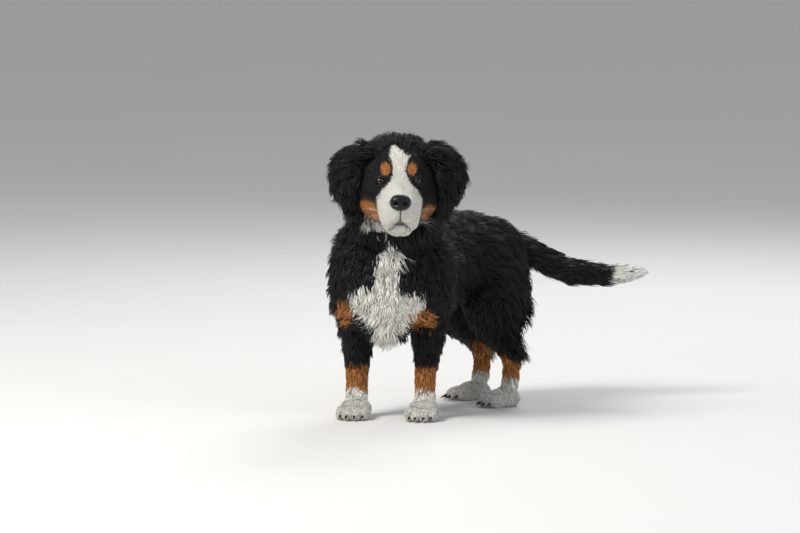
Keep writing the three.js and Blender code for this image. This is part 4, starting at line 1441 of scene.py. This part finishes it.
def eye_material():
    """Brown iris, mottled by noise, round a dark pupil, dark white of the eye, under a wet clear coat."""
    nodes = Nodes("eye")
    gaze = nodes.attribute("gaze")
    iris = nodes.mix(nodes.noise(nodes.place(), 700.0, 2.0), *IRIS)
    colour = nodes.mix(nodes.scaled(gaze, *IRIS_FROM, 0.0, 1.0), PUPIL, iris)
    colour = nodes.mix(nodes.scaled(gaze, *IRIS_EDGE_FROM, 0.0, 1.0), colour, IRIS_EDGE)
    colour = nodes.mix(nodes.scaled(gaze, *EYE_WHITE_FROM, 0.0, 1.0), colour, EYE_WHITE)
    finish = {"Roughness": 0.15, "Specular_IOR_Level": 0.2, "Coat_Weight": 0.6, "Coat_Roughness": 0.03}
    return nodes.shade(Base_Color=colour, **finish)


def claw_material():
    """Dark horn with lengthwise grain."""
    nodes = Nodes("claw_horn")
    grain = nodes.noise(nodes.stretched(nodes.place(), (900.0, 180.0, 900.0)), 1.0, 2.0)
    return nodes.shade(Base_Color=nodes.mix(grain, *HORN), Roughness=0.35)


def whisker_material():
    """Pale stiff hair, darker towards the root."""
    nodes = Nodes("whisker")
    outward_share = nodes.scaled(nodes.attribute("share"), 0.0, 0.5, 0.0, 1.0)
    return nodes.shade(Base_Color=nodes.mix(outward_share, *WHISKER), Roughness=0.4)


def floor_material():
    """Plain pale floor with a faint unevenness."""
    stage = bpy.context.scene.puppy_stage
    nodes = Nodes("floor")
    cloud = nodes.noise(nodes.place(), 1.2, 2.0)
    colour = nodes.mix(cloud, rgba(stage.floor_colour, 0.96), rgba(stage.floor_colour))
    return nodes.shade(Base_Color=colour, Roughness=0.8)


# Settings that a user would change


class PuppyBodySettings(bpy.types.PropertyGroup):
    """How finely the skin is made."""

    head_voxel: bpy.props.FloatProperty(
        name="Head fineness",
        description="Voxel size of the head's skin in millimetres",
        default=1.45,
        min=0.8,
    )
    paw_voxel: bpy.props.FloatProperty(
        name="Paw fineness",
        description="Voxel size of the paws' skin in millimetres",
        default=2.2,
        min=1.0,
    )
    body_voxel: bpy.props.FloatProperty(
        name="Body fineness",
        description="Voxel size of the body's skin in millimetres",
        default=5.5,
        min=2.0,
    )


class PuppyCoatSettings(bpy.types.PropertyGroup):
    """Colours and fullness of the coat."""

    black: bpy.props.FloatVectorProperty(
        name="Black", description="Ground colour", subtype="COLOR", size=3, default=(0.0042, 0.004, 0.0048)
    )
    rust: bpy.props.FloatVectorProperty(
        name="Rust",
        description="Markings on brows, cheeks and legs",
        subtype="COLOR",
        size=3,
        default=(0.54, 0.212, 0.055),
    )
    white: bpy.props.FloatVectorProperty(
        name="White",
        description="Blaze, chest, paws and tail tip",
        subtype="COLOR",
        size=3,
        default=(0.90, 0.875, 0.82),
    )
    amount: bpy.props.FloatProperty(
        name="Amount",
        description="Share of the full number of tufts",
        subtype="FACTOR",
        default=1.0,
        min=0.05,
        max=1.2,
    )
    length: bpy.props.FloatProperty(
        name="Length", description="Factor on every tuft's length", default=1.0, min=0.2
    )
    seed: bpy.props.IntProperty(name="Seed", description="Start of the random draws", default=7)


class PuppyStageSettings(bpy.types.PropertyGroup):
    """Floor, lights and camera."""

    floor_colour: bpy.props.FloatVectorProperty(
        name="Floor", description="Colour of the floor", subtype="COLOR", size=3, default=(0.78, 0.77, 0.75)
    )
    camera_turn: bpy.props.FloatProperty(
        name="Camera turn", description="Angle of the camera round the dog", subtype="ANGLE", default=LOOK
    )
    camera_rise: bpy.props.FloatProperty(
        name="Camera rise",
        description="Angle of the camera over the floor",
        subtype="ANGLE",
        default=math.radians(5.5),
    )
    camera_far: bpy.props.FloatProperty(
        name="Camera distance", description="From the lens to the dog", unit="LENGTH", default=7.78
    )
    lens: bpy.props.FloatProperty(name="Lens", description="Focal length in millimetres", default=200.0)
    aim_aside: bpy.props.FloatProperty(
        name="Aim aside",
        description="The view's middle beside the shoulders",
        unit="LENGTH",
        default=0.01575,
    )
    aim_up: bpy.props.FloatProperty(
        name="Aim height", description="The view's middle over the floor", unit="LENGTH", default=0.2664
    )


# Operators


def replaced_flesh():
    """The nodes that the skin stands for."""
    shown_elsewhere = ("eye_", "claw_", "nose")
    return [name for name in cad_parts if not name.startswith(shown_elsewhere)]


class PUPPY_OT_skin(bpy.types.Operator):
    """Make the skin of the whole animal"""

    bl_idname = "puppy.skin"
    bl_label = "Skin"

    def execute(self, context):
        skin = make_skin(context.scene.puppy_body)
        triangulate = skin.modifiers.new("Triangulate", "TRIANGULATE")
        triangulate.quad_method = "BEAUTY"
        apply_modifiers(skin)
        keep_largest(skin)
        label_skin(skin.data)
        unwrap(skin)
        skin.data.materials.append(skin_material())
        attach(skin, "root")
        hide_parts(*replaced_flesh())
        return {"FINISHED"}


def ball_grid(rings, sides):
    """Directions round a ball: sin and cos of the angle from the pole ahead and of the turn about it.
    The pole ahead and the pole behind come last. Also gives the angles from the pole ahead."""
    theta = np.repeat(np.arange(1, rings) * math.pi / rings, sides)
    phi = np.tile(np.arange(sides) * TAU / sides, rings - 1)
    theta, phi = np.concatenate([theta, [0, math.pi]]), np.concatenate([phi, [0, 0]])
    ball = np.stack([np.sin(theta) * np.cos(phi), -np.cos(theta), np.sin(theta) * np.sin(phi)], axis=1)
    return ball, theta


def ball_mesh(name, points, rings, sides):
    """The mesh of points in ball_grid's order, given in the head's frame."""
    points = to_scene(on_head(points))
    return new_mesh(name, points, outward(points - points.mean(axis=0), grid_faces(rings - 1, sides)))


EYE_GRID = (48, 64)
CORNEA_RISE = 0.05
CORNEA_WIDTH = 0.55


def eye_mesh(name, turn):
    """A ball of the eye's radius, swelling by a bell curve of the angle from the line of sight."""
    ball, theta = ball_grid(*EYE_GRID)
    radius = EYE_RADIUS * (1 + CORNEA_RISE * np.exp(-((theta / CORNEA_WIDTH) ** 2)))
    gaze = ball * radius[:, None] @ eye_direction(turn).T
    mesh = ball_mesh(name, gaze + EYE * [turn, 1, 1], *EYE_GRID)
    set_attribute(mesh, "gaze", theta)
    return mesh


class PUPPY_OT_eyes(bpy.types.Operator):
    """Make both eyes"""

    bl_idname = "puppy.eyes"
    bl_label = "Eyes"

    def execute(self, context):
        material = eye_material()
        for side, turn in SIDES.items():
            name = f"eyeball_{side}"
            eye = make_piece(name, eye_mesh(name, turn), material)
            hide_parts(f"eye_{side}")
        return {"FINISHED"}


NOSE_GRID = (72, 96)
NOSE_POWER = 2.5
# On the nose's front: middle and half size from the nose's middle, and depth
NOSTRIL = ((7.6, -0.8), (3.6, 3.3), 6.5)
SLIT = ((12.6, -3.6), (3.6, 1.5), 3.0)
SLIT_RISE = 0.25
GROOVE_DEPTH = 1.3
NOSTRIL_RIM = ((9, 1), (5.5, 5.5), 1.2)


def bell(x, z, middle, size):
    """A bell curve of two distances from a middle, each over its size."""
    return np.exp(-(((x - middle[0]) / size[0]) ** 2 + ((z - middle[1]) / size[1]) ** 2))


def nose_mesh(name):
    """A superellipsoid, narrower below, pressed in at the nostrils, the slits beside them and the groove."""
    ball, _ = ball_grid(*NOSE_GRID)
    ball = ball / (np.sum(np.abs(ball) ** NOSE_POWER, axis=1) ** (1 / NOSE_POWER))[:, None]
    narrow = 1 - 0.3 * np.clip(-ball[:, 2], 0, 1) ** 1.5
    p = ball * NOSE_SIZE * np.stack([narrow, np.ones_like(narrow), np.ones_like(narrow)], axis=1)
    x, z = np.abs(p[:, 0]), p[:, 2]
    ahead = np.clip(-ball[:, 1], 0, 1)
    nostril = bell(x, z, *NOSTRIL[:2])
    slit = bell(x, z - SLIT_RISE * (x - SLIT[0][0]), *SLIT[:2])
    groove = np.exp(-(x**2)) * np.clip((6 - z) / 8, 0, 1)
    rim = np.clip(bell(x, z, *NOSTRIL_RIM[:2]) - 1.2 * nostril, 0, 1)
    p[:, 1] += ahead * (NOSTRIL[2] * nostril + SLIT[2] * slit + GROOVE_DEPTH * groove)
    p[:, 1] -= ahead * NOSTRIL_RIM[2] * rim
    return ball_mesh(name, p + NOSE, *NOSE_GRID)


class PUPPY_OT_nose(bpy.types.Operator):
    """Make the nose leather with its nostrils"""

    bl_idname = "puppy.nose"
    bl_label = "Nose"

    def execute(self, context):
        nose = make_piece("nose_leather", nose_mesh("nose_leather"), nose_material())
        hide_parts("nose")
        return {"FINISHED"}


CLAW = {"length": 12.0, "root": 3.0, "up": 8.0, "droop": 4.0, "sunk": 4.0}
CLAW_GRID = (14, 16)
PAW_COAT = 3.0


def claw_grid(apart, at, size, aside, ahead):
    """A cone whose middle line droops by the square of the way out t: radius times 1 - 0.85 t^1.5."""
    rings, sides = CLAW_GRID
    t = np.repeat(np.linspace(0, 1, rings), sides)
    phi = np.tile(np.arange(sides) * TAU / sides, rings)
    t, phi = np.concatenate([t, [0, 1]]), np.concatenate([phi, [0, 0]])
    radius = CLAW["root"] * (1 - 0.85 * t**1.5)
    radius[-2:] = 0
    out = CLAW["sunk"] - t * CLAW["length"]
    p = np.stack([0.8 * radius * np.cos(phi), out, radius * np.sin(phi) - CLAW["droop"] * t**2], axis=1)
    start = np.array([apart + aside * size, at - (ahead + TOE_SIZE[1]) * size - PAW_COAT, CLAW["up"]])
    return to_scene(bend(p + start)), grid_faces(rings, sides)


class PUPPY_OT_claws(bpy.types.Operator):
    """Make the claws of each paw"""

    bl_idname = "puppy.claws"
    bl_label = "Claws"

    def execute(self, context):
        material = claw_material()
        for end, (apart, at, size) in PAW_SPOTS.items():
            for side, turn in SIDES.items():
                grids = [claw_grid(apart * turn, at, size, aside, ahead) for aside, ahead in TOES]
                name = f"claws_{end}_{side}"
                claws = make_piece(name, new_mesh(name, *joined(grids)), material)
                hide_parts(*[f"claw_{end}_{side}_{i + 1}" for i in range(len(TOES))])
        return {"FINISHED"}


WHISKER_GRID = (12, 5)
WHISKER_ROWS = 3
WHISKERS_A_ROW = 4
WHISKER_RADIUS = 0.17
WHISKER_LENGTH = (26, 42)
WHISKER_SAG = np.array([0, 8, -9])


def whisker_grid(turn, row, place, rng):
    """A hair whose middle line sags by the square of the way out t: radius times 1 - 0.85 t."""
    rings, sides = WHISKER_GRID
    root = np.array([turn * (29 + 2.2 * place), -58 + 9.0 * place, -46 - 7.0 * row])
    way = np.array([turn * 1.0, 0.25 + 0.2 * place, 0.25 - 0.35 * row])
    way = unit(way + rng.normal(0, 0.08, 3))
    length = rng.uniform(*WHISKER_LENGTH)
    t = np.linspace(0, 1, rings)
    line = root + way * (t * length)[:, None] + WHISKER_SAG * (t**2)[:, None]
    radius = WHISKER_RADIUS * (1 - 0.85 * t)
    phi = np.arange(sides) * TAU / sides
    a = unit(np.cross(way, [0, 0, 1.0]))
    b = np.cross(way, a)
    ring = a * np.cos(phi)[:, None] + b * np.sin(phi)[:, None]
    points = (line[:, None] + radius[:, None, None] * ring[None]).reshape(-1, 3)
    points = np.concatenate([points, line[:1], line[-1:]])
    return to_scene(on_head(points)), grid_faces(rings, sides)


class PUPPY_OT_whiskers(bpy.types.Operator):
    """Make the whiskers of the muzzle"""

    bl_idname = "puppy.whiskers"
    bl_label = "Whiskers"

    def execute(self, context):
        rng = np.random.default_rng(context.scene.puppy_coat.seed)
        spots = [(row, place) for row in range(WHISKER_ROWS) for place in range(WHISKERS_A_ROW)]
        grids = [whisker_grid(turn, *spot, rng) for turn in SIDES.values() for spot in spots]
        mesh = new_mesh("whiskers", *joined(grids))
        rings, sides = WHISKER_GRID
        share = np.append(np.repeat(np.linspace(0, 1, rings), sides), [0, 1])
        set_attribute(mesh, "share", np.tile(share, len(grids)))
        whiskers = make_piece("whiskers", mesh, whisker_material())
        return {"FINISHED"}


def grow_pieces(context, names):
    """Grows the named coat pieces over the finished skin."""
    skin = Skin(bpy.data.objects["skin"])
    region = region_of(skin)
    for name in names:
        made = grow(skin, name, region == name, STYLES[name], context.scene.puppy_coat)


class PUPPY_OT_head_coat(bpy.types.Operator):
    """Grow the hair of the face, crown and ears"""

    bl_idname = "puppy.head_coat"
    bl_label = "Coat of the head"

    def execute(self, context):
        grow_pieces(context, ["coat_face", "coat_head", "coat_ears"])
        return {"FINISHED"}


class PUPPY_OT_body_coat(bpy.types.Operator):
    """Grow the long coat of the neck, chest, flanks, rump and tail"""

    bl_idname = "puppy.body_coat"
    bl_label = "Coat of the body"

    def execute(self, context):
        trunk = ["coat_neck", "coat_chest", "coat_flank_left", "coat_flank_right", "coat_rump"]
        grow_pieces(context, [*trunk, "coat_tail", "coat_tail_tip"])
        return {"FINISHED"}


class PUPPY_OT_leg_coat(bpy.types.Operator):
    """Grow the hair of the legs and paws"""

    bl_idname = "puppy.leg_coat"
    bl_label = "Coat of the legs"

    def execute(self, context):
        grow_pieces(context, ["coat_forelegs", "coat_hindlegs", "coat_paws"])
        return {"FINISHED"}


FLOOR_REACH = 30.0
FLOOR_STEPS = 25
SENSOR = 36
CLIP_END = 200
UP = Vector((0, 0, 1))
LIT = Vector((0, 0, 0.25))
# Size, watts, metres from the lit middle to the camera's right, towards it and up, and colour
LIGHTS = {
    "key": (1.5, 150.0, (-2.4, 1.7, 2.9), (1.0, 0.97, 0.93)),
    "fill": (2.4, 22.0, (2.4, 2.2, 1.2), (0.93, 0.96, 1.0)),
    "back": (1.4, 40.0, (0.8, -2.4, 2.2), (1.0, 1.0, 1.0)),
}
SKY = (0.86, 0.89, 0.93, 1.0)
SKY_STRENGTH = 0.47


def floor_grid(reach, steps):
    """A level square grid that reaches as far to every side."""
    line = np.linspace(-reach, reach, steps)
    x, y = np.meshgrid(line, line, indexing="ij")
    points = np.stack([x.ravel(), y.ravel(), np.zeros(x.size)], axis=1)
    i = (np.arange(steps - 1)[:, None] * steps + np.arange(steps - 1)[None]).ravel()
    beyond = i + steps + 1
    return points, np.concatenate([np.stack([i, i + steps, beyond], 1), np.stack([i, beyond, i + 1], 1)])


def add_camera(stage, right, toward):
    """The camera, aimed beside and over the shoulders."""
    shoulders = Vector(to_scene(SHOULDERS[None])[0])
    shoulders.z = 0
    aim = shoulders + right * stage.aim_aside + Vector((0, 0, stage.aim_up))
    back = toward * math.cos(stage.camera_rise) + Vector((0, 0, math.sin(stage.camera_rise)))
    camera = new_object("camera", bpy.data.cameras.new("camera"))
    camera.data.lens = stage.lens
    camera.data.sensor_width = SENSOR
    camera.data.clip_end = CLIP_END
    camera.location = aim + back * stage.camera_far
    camera.rotation_euler = (-back).to_track_quat("-Z", "Y").to_euler()
    bpy.context.scene.camera = camera


def add_light(name, size, power, place, colour):
    """A square area light, turned to the lit middle."""
    light = new_object(name, bpy.data.lights.new(name, "AREA"))
    light.data.size = size
    light.data.energy = power
    light.data.color = colour
    light.location = place
    light.rotation_euler = (LIT - place).to_track_quat("-Z", "Y").to_euler()


class PUPPY_OT_stage(bpy.types.Operator):
    """Make the floor, the lights and the camera"""

    bl_idname = "puppy.stage"
    bl_label = "Stage"

    def execute(self, context):
        stage = context.scene.puppy_stage
        floor = new_object("floor", new_mesh("floor", *floor_grid(FLOOR_REACH, FLOOR_STEPS)))
        floor.data.materials.append(floor_material())
        turn = stage.camera_turn
        right = Vector((math.cos(turn), math.sin(turn), 0))
        toward = Vector((math.sin(turn), -math.cos(turn), 0))
        add_camera(stage, right, toward)
        for name, (size, power, (aside, near, high), colour) in LIGHTS.items():
            add_light(name, size, power, LIT + right * aside + toward * near + UP * high, colour)
        world = bpy.data.worlds.new("studio")
        world.use_nodes = True
        background = world.node_tree.nodes["Background"]
        background.inputs["Color"].default_value = SKY
        background.inputs["Strength"].default_value = SKY_STRENGTH
        context.scene.world = world
        context.scene.view_settings.view_transform = "Standard"
        return {"FINISHED"}


class PUPPY_PT_panel(bpy.types.Panel):
    """Lists the settings and the pieces"""

    bl_label = "Mountain dog puppy"
    bl_space_type = "VIEW_3D"
    bl_region_type = "UI"
    bl_category = "Puppy"

    def draw(self, context):
        """Settings first, then a button for each piece."""
        for settings in (context.scene.puppy_body, context.scene.puppy_coat, context.scene.puppy_stage):
            box = self.layout.box()
            for name in settings.__annotations__:
                box.prop(settings, name)
        for operator in OPERATORS:
            self.layout.operator(operator.bl_idname)


OPERATORS = (
    PUPPY_OT_stage,
    PUPPY_OT_skin,
    PUPPY_OT_eyes,
    PUPPY_OT_nose,
    PUPPY_OT_claws,
    PUPPY_OT_whiskers,
    PUPPY_OT_head_coat,
    PUPPY_OT_body_coat,
    PUPPY_OT_leg_coat,
)
CLASSES = (PuppyBodySettings, PuppyCoatSettings, PuppyStageSettings, *OPERATORS, PUPPY_PT_panel)


def register():
    """Registers the classes and hangs the settings on the scene."""
    for cls in CLASSES:
        bpy.utils.register_class(cls)
    bpy.types.Scene.puppy_body = bpy.props.PointerProperty(type=PuppyBodySettings)
    bpy.types.Scene.puppy_coat = bpy.props.PointerProperty(type=PuppyCoatSettings)
    bpy.types.Scene.puppy_stage = bpy.props.PointerProperty(type=PuppyStageSettings)


def unregister():
    """Takes the settings and the classes away again."""
    del bpy.types.Scene.puppy_body
    del bpy.types.Scene.puppy_coat
    del bpy.types.Scene.puppy_stage
    for cls in reversed(CLASSES):
        bpy.utils.unregister_class(cls)


def main():
    """Makes every piece in order."""
    register()
    for operator in OPERATORS:
        group, name = operator.bl_idname.split(".")
        getattr(getattr(bpy.ops, group), name)()


if __name__ == "__main__":
    main()
